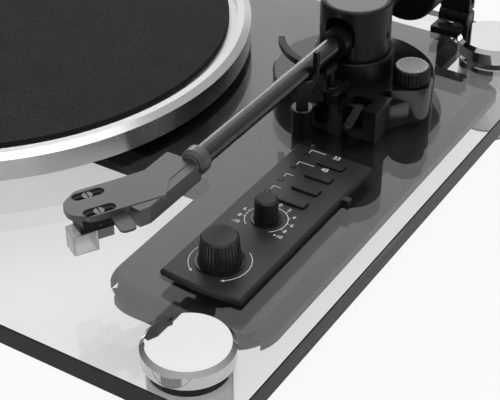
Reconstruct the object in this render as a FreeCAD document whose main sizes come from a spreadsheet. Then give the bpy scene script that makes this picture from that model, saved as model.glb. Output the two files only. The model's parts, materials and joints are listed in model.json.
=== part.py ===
"""Belt-drive turntable with a clear plinth, a fixed-headshell tonearm and a flat control panel.

Origin: on the ground under the middle of the plinth.  +X is to the right, +Y to the rear, +Z up.
Every size that can be set by itself is one row of the sheet "Sizes"; the rest follows by expressions.
"""
import FreeCAD, Part
import Sketcher
import math
import os
from FreeCAD import Placement, Rotation, Vector

doc = FreeCAD.newDocument("turntable")
sheet = doc.addObject("Spreadsheet::Sheet", "Sizes")

SIZES = [
    # clear plinth and what it stands on
    ("plinth_width", 450, "left to right"),
    ("plinth_depth", 355, "front to rear"),
    ("plinth_thick", 11, "clear acrylic sheet"),
    ("plinth_edge", 0.5, "polished edge bevel"),
    ("seat_gap", 0.05, "clearance of a seated or located piece"),
    ("running_gap", 0.05, "radial clearance of a shaft in its bore"),
    ("moving_gap", 0.35, "clearance between pieces that move past each other"),
    ("foot_height", 42, "ground to the underside of the plinth"),
    ("foot_radius", 18, "chrome pillar under the plinth"),
    ("foot_inset_side", 34.5, "pillar centre to the side edge"),
    ("foot_inset_end", 25.5, "pillar centre to the front and rear edge"),
    ("foot_pad_height", 3, "rubber pad under a pillar"),
    ("foot_pad_radius", 15, "rubber pad"),
    ("foot_pad_recess", 1.5, "how far the pad sits inside the pillar"),
    ("foot_stud_radius", 4, "threaded stud through the plinth"),
    ("foot_stud_grip", 6, "stud length inside the pillar"),
    ("cap_radius", 20, "chrome cap on top of the plinth"),
    ("cap_side", 6, "straight side of the cap"),
    ("cap_bevel", 2, "bevel round the cap's top"),
    ("cap_stud_grip", 4, "stud length inside the cap"),
    # black chassis under the plinth
    ("chassis_side_inset", 18.4, "chassis side wall to the plinth's side edge"),
    ("chassis_front", 136.4, "chassis front wall from the plinth's front edge"),
    ("chassis_rear_inset", 12, "chassis rear wall to the plinth's rear edge"),
    ("chassis_height", 11, "upper chassis below the plinth"),
    ("chassis_bevel", 6, "sloped shoulder round the chassis"),
    ("chassis_wall", 3, "wall of the chassis and the tub"),
    ("chassis_top", 2.5, "top skin of the chassis"),
    ("tongue_front", 48.5, "front wall of the tongue under the panel"),
    ("tongue_width", 85.4, "tongue under the control panel"),
    ("tongue_round", 22, "corner radius of the tongue"),
    ("foot_clear", 4, "chassis wall to a rear foot"),
    ("chassis_round", 8, "other outer corners of the chassis"),
    ("tub_width", 280, "deep rear tub that holds the motor and sockets"),
    ("tub_front_reach", 16, "tub's front from the platter axis, past the bearing"),
    ("tub_height", 16, "tub below the chassis"),
    ("tub_left_reach", 108, "tub's left side from the platter axis"),
    ("tub_rear_inset", 20, "tub from the plinth's rear edge"),
    ("tub_floor", 2, "floor of the tub and flat of the bottom cover"),
    ("tub_round", 8, "corner radius of the tub"),
    ("cover_screw_radius", 1.5, "self-tapping screw in the bottom cover"),
    ("cover_screw_head", 2.8, "head radius"),
    ("cover_screw_length", 8, "under the head"),
    ("cover_screw_rise", 1.6, "head height"),
    ("boss_radius", 3.6, "screw boss in the chassis"),
    ("cover_screw_inset", 9, "screw centre from the chassis edge"),
    # platter, bearing and drive
    ("spindle_from_right", 282, "platter axis from the plinth's right edge"),
    ("spindle_from_front", 186, "platter axis from the plinth's front edge"),
    ("platter_radius", 150, "12 inch platter"),
    ("platter_clear", 4.2, "plinth top to the platter's underside"),
    ("platter_side", 11.2, "upright mirror-finished side"),
    ("platter_bevel_drop", 2.1, "height of the bevel at the rim"),
    ("platter_bevel_width", 3.9, "width of the bevel at the rim"),
    ("platter_rim", 3.8, "flat top of the rim"),
    ("platter_rim_wall", 9, "thickness of the outer wall"),
    ("mat_recess", 2.8, "depth of the mat recess below the rim"),
    ("web_thick", 3, "disc that carries the mat"),
    ("mat_radius", 137.5, "felt mat"),
    ("mat_thick", 3, "felt mat"),
    ("belt_rim_radius", 84, "belt track under the platter"),
    ("belt_rim_wall", 4, "belt track wall"),
    ("belt_rim_clear", 1.2, "belt track above the platter's lower edge"),
    ("hub_radius", 17, "platter hub"),
    ("spindle_radius", 5, "bearing shaft"),
    ("spindle_below", 25, "shaft below the top of the plinth"),
    ("spindle_flange_radius", 13, "flange that carries the platter"),
    ("spindle_flange_thick", 2.5, "flange that carries the platter"),
    ("record_pin_radius", 3.6, "pin for a record's centre hole"),
    ("record_pin_height", 11, "pin above the mat"),
    ("bearing_radius", 11, "bearing housing through the plinth"),
    ("bearing_flange_radius", 20, "bearing flange on the plinth"),
    ("bearing_flange_thick", 2, "bearing flange on the plinth"),
    ("bearing_floor", 3, "closed bottom of the bearing"),
    ("ball_radius", 2.5, "thrust ball under the shaft"),
    ("motor_reach", 112, "motor axis from the platter axis"),
    ("motor_angle", 135, "motor direction from +X"),
    ("motor_radius", 18, "motor can"),
    ("motor_height", 19, "motor can"),
    ("motor_boss_radius", 4, "bearing boss on the motor"),
    ("motor_boss_height", 3, "bearing boss on the motor"),
    ("motor_shaft_radius", 1, "motor shaft"),
    ("pulley_radius", 6, "belt track on the pulley"),
    ("pulley_flange", 1.5, "flange beyond the belt track"),
    ("pulley_height", 6.5, "pulley"),
    ("pulley_clear", 4.8, "plinth top to the pulley"),
    ("belt_width", 3.6, "flat belt"),
    ("belt_thick", 0.7, "flat belt"),
    # control panel
    ("panel_from_right", 33.5, "panel's right side from the plinth's right edge"),
    ("panel_from_front", 63.3, "panel's front from the plinth's front edge"),
    ("panel_width", 41.8, "panel"),
    ("panel_length", 119.5, "panel"),
    ("panel_thick", 3.2, "panel"),
    ("panel_bow", 1.6, "how far the front edge bows out"),
    ("panel_bevel", 0.9, "bevel round the top"),
    ("opening_margin", 5.5, "plinth opening inside the panel's outline"),
    ("board_thick", 1.6, "circuit board"),
    ("board_drop", 7, "plinth top to the board"),
    ("standoff_radius", 2.4, "standoff under the panel"),
    ("button_x", 24.1, "button centre from the panel's left side"),
    ("button_first", 73.6, "front button centre from the panel's front"),
    ("button_last", 9.6, "rear button centre from the panel's rear"),
    ("button_length", 14.2, "button cap"),
    ("button_width", 5.6, "button cap"),
    ("button_rise", 1.3, "cap above the panel"),
    ("button_travel", 1, "press"),
    ("button_round", 1.4, "corner radius of a cap"),
    ("lamp_x", 9.2, "lamp from the panel's left side"),
    ("lamp_shift", 1.2, "lamp behind its button's centre"),
    ("lamp_radius", 1.6, "lamp lens"),
    ("pitch_x", 20.3, "speed knob from the panel's left side"),
    ("pitch_y", 55.7, "speed knob from the panel's front"),
    ("pitch_radius", 5.8, "speed knob at its foot"),
    ("pitch_top_radius", 5.4, "speed knob at its top"),
    ("pitch_height", 11.6, "speed knob"),
    ("volume_x", 19.4, "volume knob from the panel's left side"),
    ("volume_y", 18.3, "volume knob from the panel's front"),
    ("volume_radius", 9.9, "volume knob at its foot"),
    ("volume_top_radius", 8.6, "volume knob at its top"),
    ("volume_height", 13.8, "volume knob"),
    ("knob_flute", 0.45, "depth and width of the grip grooves"),
    ("knob_crown", 0.9, "smooth crown above the grooves"),
    ("knob_shaft_radius", 3, "potentiometer shaft"),
    ("knob_lift", 0.4, "knob above the panel"),
    ("ring_width", 1.2, "seat ring round a knob"),
    ("ring_rise", 0.7, "seat ring above the panel"),
    # tonearm base
    ("arm_from_right", 75.7, "arm's upright axis from the plinth's right edge"),
    ("arm_from_front", 240, "arm's upright axis from the plinth's front edge"),
    ("pod_shift_x", -4, "pod axis from the arm axis"),
    ("pod_shift_y", 8, "pod axis from the arm axis"),
    ("pod_radius", 43, "round pod"),
    ("pod_height", 12.6, "round pod"),
    ("pod_bevel", 1, "bevel round the pod's top"),
    ("pod_stem_radius", 15, "stem through the plinth"),
    ("pod_nut_radius", 21, "clamp nut under the plinth"),
    ("pod_nut_height", 5, "clamp nut under the plinth"),
    ("tier_height", 6.3, "raised platform on the pod"),
    ("tier_radius", 24.5, "raised platform round the arm axis"),
    ("boss_shift_x", 31.7, "anti-skate axis from the arm axis"),
    ("boss_shift_y", 3.5, "anti-skate axis from the arm axis"),
    ("skate_boss_radius", 11.4, "anti-skate boss"),
    ("skate_radius", 9.5, "anti-skate knob"),
    ("skate_height", 8.5, "anti-skate knob"),
    ("skate_pin_radius", 2.5, "pin that the knob turns on"),
    ("collar_radius", 20.8, "height collar round the tower"),
    ("collar_height", 12.3, "height collar"),
    ("tower_radius", 18.4, "turning tower"),
    ("tower_wall", 2.2, "tower wall"),
    ("tower_rise", 28.1, "tower above the collar"),
    ("tower_bevel", 0.8, "bevel round the tower's top"),
    ("tower_floor", 5, "tower's floor with its bearing bore"),
    ("tower_cap_thick", 2.5, "inlaid cap"),
    ("tower_cap_sink", 0.4, "cap below the tower's rim"),
    ("post_radius", 5, "fixed post that the tower turns on"),
    ("window_half", 8.3, "half width of the arched windows"),
    ("window_lift", 4.7, "arch centre above the arm's axis"),
    # tonearm
    ("pivot_height", 42.3, "tube axis above the plinth"),
    ("gimbal_radius", 7.4, "block that turns in the tower"),
    ("gimbal_front", 23.5, "block in front of the pivot"),
    ("gimbal_rear", 16, "block behind the pivot"),
    ("pin_radius", 1.5, "level pivot pins"),
    ("pin_depth", 3, "pin inside the block"),
    ("tube_radius", 4.8, "arm tube"),
    ("tube_wall", 0.9, "arm tube"),
    ("tube_grip", 8, "tube inside the block"),
    ("tube_end", 150, "front end of the tube from the pivot"),
    ("sleeve_radius", 6.5, "collar at the headshell"),
    ("sleeve_length", 7, "collar at the headshell"),
    ("sleeve_lap", 0.5, "collar's front ahead of the tube's end"),
    ("sleeve_bevel", 2.5, "cone at the collar's front"),
    ("neck_lap", 1.4, "how far the keel and plate run back under the collar"),
    ("stub_radius", 5, "rear stub"),
    ("stub_end", 84, "rear stub's end from the pivot"),
    ("weight_radius", 20, "counterweight"),
    ("weight_length", 22, "counterweight"),
    ("weight_start", 54, "counterweight's front face from the pivot"),
    ("dial_radius", 15, "tracking force dial"),
    ("dial_length", 4.5, "tracking force dial"),
    ("head_angle", 30, "headshell turned towards the platter, degrees"),
    ("head_x", -17.8, "middle of the cartridge screws, across the arm"),
    ("head_y", -196.2, "middle of the cartridge screws, along the arm"),
    ("head_top", 1.5, "top of the headshell above the tube axis"),
    ("head_thick", 3, "headshell plate"),
    ("head_left", 11, "plate left of the screws' middle line"),
    ("head_right", 9.6, "plate right of the screws' middle line"),
    ("head_nose", 12.3, "plate ahead of the screws"),
    ("head_tail", 29, "plate behind the screws"),
    ("head_taper", 4, "where the sides turn in, ahead of the screws"),
    ("head_nose_half", 4.5, "half width of the nose"),
    ("head_round", 6.5, "nose corner radius"),
    ("neck_left", 13.5, "neck's left side from the tube axis"),
    ("neck_right", 0.4, "neck's right side, left of the tube axis"),
    ("neck_end", 165.5, "neck's front from the pivot"),
    ("keel_right", 4.1, "keel's right side from the tube axis"),
    ("keel_left", 6.2, "keel's left side from the tube axis"),
    ("keel_top", 1.2, "keel's top above the tube axis"),
    ("keel_bottom", 7.3, "keel's underside below the tube axis"),
    ("keel_corner", 186, "where the keel turns in"),
    ("keel_end", 190.7, "keel's front"),
    ("slot_spacing", 12.7, "cartridge screw spacing"),
    ("slot_half_width", 2.6, "cartridge slots at the top, round the screw heads"),
    ("slot_low_half", 1.5, "cartridge slots below the screw heads"),
    ("slot_step", 1.6, "depth of the wide part of the slots"),
    ("slot_front", 4.4, "slot arc centre ahead of the screws"),
    ("slot_rear", 5, "slot arc centre behind the screws"),
    ("head_screw_radius", 1.25, "cartridge screws"),
    ("head_screw_head", 2.3, "cartridge screw heads"),
    ("head_screw_rise", 1.3, "cartridge screw heads"),
    ("lift_tab_width", 7.2, "finger lift"),
    ("lift_tab_reach", 21.2, "finger lift's end from the screws' middle line"),
    ("lift_tab_y", 7.4, "finger lift behind the screws"),
    ("lift_tab_thick", 1.2, "finger lift"),
    ("lift_tab_round", 2.4, "finger lift's outer corners"),
    ("cartridge_half", 8.4, "cartridge's mounting ears, half width"),
    ("cartridge_ear", 3.2, "cartridge's mounting ears, height"),
    ("cartridge_low_half", 4.8, "cartridge body below the ears, half width"),
    ("cartridge_front", 8.1, "cartridge body ahead of the screws"),
    ("cartridge_rear", 8, "cartridge body behind the screws"),
    ("cartridge_height", 8.3, "cartridge with its ears"),
    ("guard_half", 4.7, "stylus guard half width"),
    ("guard_front", 11.8, "guard ahead of the screws"),
    ("guard_rear", 0.3, "guard's rear ahead of the screws"),
    ("guard_height", 10, "stylus guard"),
    ("guard_round", 0.8, "rounding of the guard's edges"),
    ("guard_wall", 1.2, "stylus guard"),
    ("stylus_half", 3.8, "stylus holder half width"),
    ("stylus_drop", 5.5, "stylus holder height at its front"),
    # arm rest and cueing lift
    ("rest_shift_x", -4.3, "arm rest post from the arm axis"),
    ("rest_reach", 46, "arm rest post ahead of the arm axis"),
    ("rest_radius", 5.2, "arm rest post"),
    ("rest_height", 15, "arm rest post"),
    ("rest_ring_height", 2, "chrome ring on the post"),
    ("fork_length", 8, "arm rest cradle along the arm"),
    ("cradle_height", 14, "cradle below the tube"),
    ("cradle_right", 5.2, "cradle's right side from the post axis"),
    ("clip_boss", 3.9, "round foot of the arm clip"),
    ("clip_pin_radius", 1.5, "arm clip's pivot"),
    ("clip_width", 2.4, "arm clip's blade"),
    ("clip_thick", 2.6, "arm clip along the arm"),
    ("clip_drop", 10, "clip's pivot below the tube axis"),
    ("clip_rise", 11.5, "clip's tip above the tube axis"),
    ("rest_stem_radius", 3.6, "stem between the ring and the cradle"),
    ("lug_width", 3.4, "locking lug beside the panel"),
    ("lug_height", 2.4, "locking lug beside the panel"),
    ("lug_y", 90.3, "locking lug from the panel's front"),
    ("rail_inner", 36, "curved lift rail, inner radius round the arm axis"),
    ("rail_width", 3.4, "lift rail"),
    ("rail_height", 3.2, "lift rail"),
    ("rail_left_angle", 58, "degrees of rail towards the platter"),
    ("rail_right_angle", 6, "degrees of rail to the right of the tube"),
    ("lift_travel", 4, "cueing travel"),
    ("lift_radius", 4.2, "cueing cylinder"),
    ("hook_radius", 7.2, "hook plate round the cueing cylinder"),
    ("hook_thick", 2.4, "hook plate"),
    ("hook_tail", 9, "tail of the hook plate"),
    ("lift_top", 25, "cueing cylinder's top above the plinth"),
    ("piston_radius", 2.2, "cueing piston"),
    ("lift_angle", 6.4, "degrees of the cueing cylinder to the right of the tube"),
    ("lift_reach", 31.8, "cueing cylinder from the arm axis"),
    ("block_left", 0.3, "lift block's left side, left of the arm axis"),
    ("block_right", 30.7, "lift block's right side, right of the arm axis"),
    ("block_front", 36.8, "lift block's front, ahead of the arm axis"),
    ("block_height", 17, "lift block"),
    ("cheek_step", 3.5, "how far the right cheek's front lies behind the left one's"),
    ("cue_shift_x", 18.6, "middle of the lever's slot from the arm axis"),
    ("cue_width", 10, "lever's slot"),
    ("cue_floor", 5, "floor of the lever's slot"),
    ("cue_depth", 15, "lever's slot front to rear"),
    ("cue_reach", 27, "lever axis ahead of the arm axis"),
    ("cue_height", 13, "lever axis above the plinth"),
    ("cue_arm_width", 4.6, "lever across"),
    ("cue_pin_radius", 1.6, "lever axis pin"),
    ("cue_lever_length", 14, "lever from its axis to the ball"),
    ("cue_ball_radius", 2, "ball on the lever"),
    # dust cover hinges and rear sockets
    ("hinge_from_right", 64, "hinge middle from the plinth's side edge"),
    ("hinge_width", 18, "hinge block"),
    ("hinge_depth", 20, "hinge foot"),
    ("hinge_foot", 4, "thickness of the hinge foot"),
    ("hinge_axis_height", 7, "hinge axis above the plinth"),
    ("hinge_knuckle", 5, "radius of the hinge knuckles"),
    ("hinge_inset", 6, "hinge foot from the plinth's rear edge"),
    ("hinge_pin_radius", 2.5, "hinge pin"),
    ("hinge_leaf_height", 34, "upright pocket for the dust cover"),
    ("hinge_leaf_thick", 7, "upright pocket"),
    ("hinge_slot", 3.2, "slot for a dust cover sheet"),
    ("socket_radius", 4.1, "phono socket barrel"),
    ("socket_bore", 1.6, "phono socket centre hole"),
    ("socket_length", 8, "phono socket beyond the tub"),
    ("socket_spacing", 14, "between phono sockets"),
    ("inlet_radius", 4.4, "power inlet barrel"),
    ("inlet_bore", 2.75, "power inlet bore"),
    ("inlet_pin", 1.05, "power inlet pin"),
    ("inlet_depth", 9, "power inlet bore"),
    ("ground_radius", 3.5, "earth terminal knob"),
    ("ground_length", 7, "earth terminal knob"),
]


class Size:
    """A length or an angle: its value now, and the expression that ties it to the sheet."""

    def __init__(self, value, text):
        self.value = value
        self.text = text

    def __float__(self):
        return float(self.value)

    def __add__(self, other):
        return join(self, other, "+", self.value + float(other))

    def __radd__(self, other):
        return as_size(other) + self

    def __sub__(self, other):
        return join(self, other, "-", self.value - float(other))

    def __rsub__(self, other):
        return as_size(other) - self

    def __mul__(self, other):
        return join(self, other, "*", self.value * float(other))

    def __rmul__(self, other):
        return as_size(other) * self

    def __truediv__(self, other):
        return join(self, other, "/", self.value / float(other))

    def __rtruediv__(self, other):
        return as_size(other) / self

    def __neg__(self):
        return as_size(0) - self


def as_size(number):
    return number if isinstance(number, Size) else Size(float(number), repr(float(number)))


def join(left, right, sign, value):
    return Size(value, "(%s %s %s)" % (left.text, sign, as_size(right).text))


def cos(angle):
    return Size(math.cos(math.radians(float(angle))), "cos(%s)" % as_size(angle).text)


def sin(angle):
    return Size(math.sin(math.radians(float(angle))), "sin(%s)" % as_size(angle).text)


class Sheet:
    """The sheet's rows as attributes, such as S.plinth_width."""


S = Sheet()
for row, (alias, value, note) in enumerate(SIZES, start=1):
    sheet.set("A%d" % row, alias)
    sheet.set("B%d" % row, str(value))
    sheet.set("C%d" % row, note)
    sheet.setAlias("B%d" % row, alias)
    setattr(S, alias, Size(float(value), "Sizes." + alias))
doc.recompute()

# ---- places that several pieces share -------------------------------------------------------
GROUND_TO_DECK = S.foot_height + S.plinth_thick          # top of the plinth
UNDERSIDE = S.foot_height                                # underside of the plinth
FRONT = -S.plinth_depth / 2
RIGHT = S.plinth_width / 2
SPINDLE_X = RIGHT - S.spindle_from_right
SPINDLE_Y = FRONT + S.spindle_from_front
ARM_X = RIGHT - S.arm_from_right
ARM_Y = FRONT + S.arm_from_front
POD_X = ARM_X + S.pod_shift_x
POD_Y = ARM_Y + S.pod_shift_y
PANEL_X = RIGHT - S.panel_from_right - S.panel_width
PANEL_Y = FRONT + S.panel_from_front
MOTOR_X = SPINDLE_X + S.motor_reach * cos(S.motor_angle)
MOTOR_Y = SPINDLE_Y + S.motor_reach * sin(S.motor_angle)
CHASSIS_BOTTOM = UNDERSIDE - S.chassis_height
TUB_BOTTOM = CHASSIS_BOTTOM - S.tub_height
TIER_TOP = S.pod_height + S.tier_height                  # above the plinth's top
COLLAR_TOP = TIER_TOP + S.collar_height
TOWER_TOP = COLLAR_TOP + S.tower_rise
HUB_DROP = S.platter_clear + S.platter_side + S.platter_bevel_drop   # rim top above the plinth
MAT_SEAT = HUB_DROP - S.mat_recess
MAT_TOP = MAT_SEAT + S.mat_thick
PIVOT_Z = GROUND_TO_DECK + S.pivot_height
nodes = []


# ---- helpers --------------------------------------------------------------------------------
def bind(thing, path, size):
    """Tie one property of an object to the sheet."""
    thing.setExpression(path, as_size(size).text)


def new_body(label, x=0, y=0, z=0):
    body = doc.addObject("PartDesign::Body", label)
    body.Label = label
    for axis, place in (("x", x), ("y", y), ("z", z)):
        bind(body, "Placement.Base." + axis, place)
    nodes.append(body)
    return body


def sketch_on(body, role, name, lift=0, shift=(0, 0), turn=0):
    """A sketch on one of the body's own origin planes, lifted along that plane's normal."""
    sketch = body.newObject("Sketcher::SketchObject", name)
    plane = next(p for p in body.Origin.OriginFeatures if p.Role == role)
    sketch.AttachmentSupport = [(plane, "")]
    sketch.MapMode = "FlatFace"
    for axis, place in (("x", shift[0]), ("y", shift[1]), ("z", lift)):
        bind(sketch, "AttachmentOffset.Base." + axis, place)
    if float(turn):
        sketch.AttachmentOffset = Placement(Vector(), Rotation(Vector(0, 0, 1), float(turn)))
        bind(sketch, "AttachmentOffset.Rotation.Angle", turn)
    return sketch


def fix_point(sketch, geometry, end, x, y):
    for kind, place in (("DistanceX", x), ("DistanceY", y)):
        index = sketch.addConstraint(Sketcher.Constraint(kind, -1, 1, geometry, end, float(place)))
        bind(sketch, "Constraints[%d]" % index, place)


def outline(sketch, points):
    """A closed outline of straight runs through the points."""
    first = sketch.GeometryCount
    count = len(points)
    for i, (x, y) in enumerate(points):
        nx, ny = points[(i + 1) % count]
        run = Part.LineSegment(Vector(float(x), float(y), 0), Vector(float(nx), float(ny), 0))
        sketch.addGeometry(run, False)
    for i in range(count):
        sketch.addConstraint(Sketcher.Constraint("Coincident", first + i, 2, first + (i + 1) % count, 1))
    for i, (x, y) in enumerate(points):
        fix_point(sketch, first + i, 1, x, y)
    return sketch


def box_outline(sketch, x1, x2, y1, y2):
    return outline(sketch, [(x1, y1), (x2, y1), (x2, y2), (x1, y2)])


def ring(sketch, x, y, radius):
    """A full circle."""
    circle = Part.Circle(Vector(float(x), float(y), 0), Vector(0, 0, 1), float(radius))
    index = sketch.addGeometry(circle, False)
    fix_point(sketch, index, 3, x, y)
    size = sketch.addConstraint(Sketcher.Constraint("Radius", index, float(radius)))
    bind(sketch, "Constraints[%d]" % size, radius)
    return sketch


def loop(sketch, start, end, radius, end_radius=None):
    """Two round ends joined by tangent runs; the ends may differ in radius."""
    far_radius = radius if end_radius is None else end_radius
    first, last = Vector(float(start[0]), float(start[1]), 0), Vector(float(end[0]), float(end[1]), 0)
    along = last - first
    heading = math.atan2(along.y, along.x)
    spread = math.acos((float(radius) - float(far_radius)) / along.Length)

    def touch(centre, size, side):
        angle = heading + side * spread
        return centre + Vector(math.cos(angle), math.sin(angle), 0) * float(size)

    near_arc = Part.ArcOfCircle(Part.Circle(first, Vector(0, 0, 1), float(radius)),
                                heading + spread, heading + 2 * math.pi - spread)
    far_arc = Part.ArcOfCircle(Part.Circle(last, Vector(0, 0, 1), float(far_radius)),
                               heading - spread, heading + spread)
    a = sketch.addGeometry(near_arc, False)
    b = sketch.addGeometry(Part.LineSegment(touch(first, radius, -1), touch(last, far_radius, -1)), False)
    c = sketch.addGeometry(far_arc, False)
    d = sketch.addGeometry(Part.LineSegment(touch(last, far_radius, 1), touch(first, radius, 1)), False)
    for one, two in ((a, b), (b, c), (c, d), (d, a)):
        sketch.addConstraint(Sketcher.Constraint("Tangent", one, 2, two, 1))
    fix_point(sketch, a, 3, *start)
    fix_point(sketch, c, 3, *end)
    for arc, size in ((a, radius), (c, far_radius)):
        index = sketch.addConstraint(Sketcher.Constraint("Radius", arc, float(size)))
        bind(sketch, "Constraints[%d]" % index, size)
    return sketch


def pad(body, sketch, length, name, down=False):
    feature = body.newObject("PartDesign::Pad", name)
    feature.Profile = sketch
    bind(feature, "Length", length)
    feature.Reversed = down
    return feature


def pocket(body, sketch, name, depth=None, up=False):
    """A cut below the sketch, or above it with up; right through where no depth is given."""
    feature = body.newObject("PartDesign::Pocket", name)
    feature.Profile = sketch
    if depth is None:
        feature.Type = "ThroughAll"
    else:
        bind(feature, "Length", depth)
    feature.Reversed = up
    return feature


def cut_both_ways(body, sketch, name):
    feature = pocket(body, sketch, name)
    feature.Midplane = True
    return feature


def turned(body, name, points, angle=360):
    """A profile of (radius, height) points turned about the body's Z axis."""
    profile = outline(sketch_on(body, "XZ_Plane", name + "_profile"), points)
    feature = body.newObject("PartDesign::Revolution", name)
    feature.Profile = profile
    feature.ReferenceAxis = (profile, ["V_Axis"])
    if angle == 360:
        feature.Angle = 360
    else:
        bind(feature, "Angle", angle)
    return feature


def upright_edges(feature, wanted=None):
    """Straight vertical edges of a feature, or those near the wanted (x, y) places."""
    names = []
    for number, edge in enumerate(feature.Shape.Edges, start=1):
        if not isinstance(edge.Curve, Part.Line) or abs(edge.tangentAt(edge.FirstParameter).z) < 0.99:
            continue
        spot = edge.CenterOfMass
        if wanted is None or any(math.hypot(spot.x - float(x), spot.y - float(y)) < 0.2 for x, y in wanted):
            names.append("Edge%d" % number)
    return names


def level_edges(feature, height):
    """Edges of a feature that lie wholly at one height."""
    names = []
    for number, edge in enumerate(feature.Shape.Edges, start=1):
        box = edge.BoundBox
        if abs(box.ZMin - float(height)) < 1e-4 and abs(box.ZMax - float(height)) < 1e-4:
            names.append("Edge%d" % number)
    return names


def rim_edges(feature, radius):
    """Full circles of one radius."""
    return ["Edge%d" % number for number, edge in enumerate(feature.Shape.Edges, start=1)
            if isinstance(edge.Curve, Part.Circle) and abs(edge.Curve.Radius - float(radius)) < 1e-4]


def round_edges(body, base, edges, radius, name):
    doc.recompute()
    feature = body.newObject("PartDesign::Fillet", name)
    feature.Base = (base, edges(base))
    bind(feature, "Radius", radius)
    return feature


def bevel_edges(body, base, edges, size, name):
    doc.recompute()
    feature = body.newObject("PartDesign::Chamfer", name)
    feature.Base = (base, edges(base))
    bind(feature, "Size", size)
    return feature


def around(body, feature, count, name):
    """Repeat a cut evenly about the body's Z axis."""
    pattern = body.newObject("PartDesign::PolarPattern", name)
    pattern.Originals = [feature]
    axis = next(a for a in body.Origin.OriginFeatures if a.Role == "Z_Axis")
    pattern.Axis = (axis, [""])
    pattern.Angle = 360
    pattern.Occurrences = count
    body.Tip = pattern
    return pattern


# ---- clear plinth ---------------------------------------------------------------------------
def feet_places():
    """The four foot axes about the middle of the plinth."""
    x = RIGHT - S.foot_inset_side
    y = -FRONT - S.foot_inset_end
    return [(x, y), (-x, y), (-x, -y), (x, -y)]


def rings_at(sketch, places, radius):
    for x, y in places:
        ring(sketch, x, y, radius)
    return sketch


def panel_opening(sketch):
    margin = S.opening_margin
    return box_outline(sketch, PANEL_X + margin, PANEL_X + S.panel_width - margin,
                       PANEL_Y + margin, PANEL_Y + S.panel_length - margin)


def hinge_screw_places():
    reach = S.hinge_width / 4
    y = -FRONT - S.hinge_inset - S.hinge_depth * 0.68
    middle = RIGHT - S.hinge_from_right
    return [(side + step, y) for side in (middle, -middle) for step in (-reach, reach)]


plinth = new_body("acrylic_plinth", z=UNDERSIDE)
sheet_outline = box_outline(sketch_on(plinth, "XY_Plane", "plinth_outline"), -RIGHT, RIGHT, FRONT, -FRONT)
slab = pad(plinth, sheet_outline, S.plinth_thick, "plinth_sheet")
polished = bevel_edges(plinth, slab, lambda f: level_edges(f, S.plinth_thick) + level_edges(f, 0),
                       S.plinth_edge, "plinth_polished_edge")
holes = sketch_on(plinth, "XY_Plane", "plinth_holes", lift=S.plinth_thick)
ring(holes, SPINDLE_X, SPINDLE_Y, S.bearing_radius + S.seat_gap)
ring(holes, MOTOR_X, MOTOR_Y, S.motor_boss_radius + S.seat_gap)
ring(holes, ARM_X, ARM_Y, S.pod_stem_radius + S.seat_gap)
rings_at(holes, feet_places(), S.foot_stud_radius + S.seat_gap)
rings_at(holes, hinge_screw_places(), S.cover_screw_radius + S.seat_gap)
panel_opening(holes)
pocket(plinth, holes, "plinth_cutouts")

# ---- feet: a pillar below, a cap above and a stud that clamps the sheet between them -----------
foot_middle = S.foot_pad_height
pillars = new_body("foot_pillars", z=foot_middle)
pillar_height = S.foot_height - S.foot_pad_height
pillar_pad = pad(pillars, rings_at(sketch_on(pillars, "XY_Plane", "pillar_outline"), feet_places(),
                                   S.foot_radius), pillar_height, "pillar_posts")
pillar_edge = bevel_edges(pillars, pillar_pad, lambda f: level_edges(f, 0) + level_edges(f, pillar_height),
                          S.plinth_edge, "pillar_bevel")
pocket(pillars, rings_at(sketch_on(pillars, "XY_Plane", "pad_recess"), feet_places(),
                         S.foot_pad_radius + S.seat_gap), "pillar_pad_recess", S.foot_pad_recess, up=True)
pocket(pillars, rings_at(sketch_on(pillars, "XY_Plane", "pillar_threads", lift=pillar_height),
                         feet_places(), S.foot_stud_radius + S.seat_gap),
       "pillar_stud_holes", S.foot_stud_grip + S.seat_gap)

pads_body = new_body("foot_pads")
rubber = pad(pads_body, rings_at(sketch_on(pads_body, "XY_Plane", "pad_outline"), feet_places(),
                                 S.foot_pad_radius), S.foot_pad_height + S.foot_pad_recess, "rubber_pads")
bevel_edges(pads_body, rubber, lambda f: level_edges(f, 0), S.plinth_edge, "pad_bevel")

caps = new_body("foot_caps", z=GROUND_TO_DECK)
cap_height = S.cap_side + S.cap_bevel
cap_pad = pad(caps, rings_at(sketch_on(caps, "XY_Plane", "cap_outline"), feet_places(), S.cap_radius),
              cap_height, "cap_discs")
bevel_edges(caps, cap_pad, lambda f: level_edges(f, cap_height), S.cap_bevel, "cap_bevels")
pocket(caps, rings_at(sketch_on(caps, "XY_Plane", "cap_threads"), feet_places(),
                      S.foot_stud_radius + S.seat_gap), "cap_stud_holes",
       S.cap_stud_grip + S.seat_gap, up=True)

studs = new_body("foot_studs", z=UNDERSIDE - S.foot_stud_grip)
stud_length = S.foot_stud_grip + S.plinth_thick + S.cap_stud_grip
stud_pad = pad(studs, rings_at(sketch_on(studs, "XY_Plane", "stud_outline"), feet_places(),
                               S.foot_stud_radius), stud_length, "stud_rods")
bevel_edges(studs, stud_pad, lambda f: level_edges(f, 0) + level_edges(f, stud_length),
            S.plinth_edge, "stud_ends")


# ---- black chassis under the plinth ---------------------------------------------------------
def chassis_corners(inset):
    """The outline moved in by the inset: tongue in front, a recess for each rear foot."""
    side = RIGHT - S.chassis_side_inset - inset
    front = FRONT + S.chassis_front + inset
    rear = -FRONT - S.chassis_rear_inset - inset
    tongue = RIGHT - S.chassis_side_inset - S.tongue_width + inset
    tip = FRONT + S.tongue_front + inset
    recess_x = RIGHT - S.foot_inset_side - S.foot_radius - S.foot_clear - inset
    recess_y = -FRONT - S.foot_inset_end - S.foot_radius - S.foot_clear - inset
    return [(-side, front), (tongue, front), (tongue, tip), (side, tip), (side, recess_y),
            (recess_x, recess_y), (recess_x, rear), (-recess_x, rear), (-recess_x, recess_y),
            (-side, recess_y)]


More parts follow.
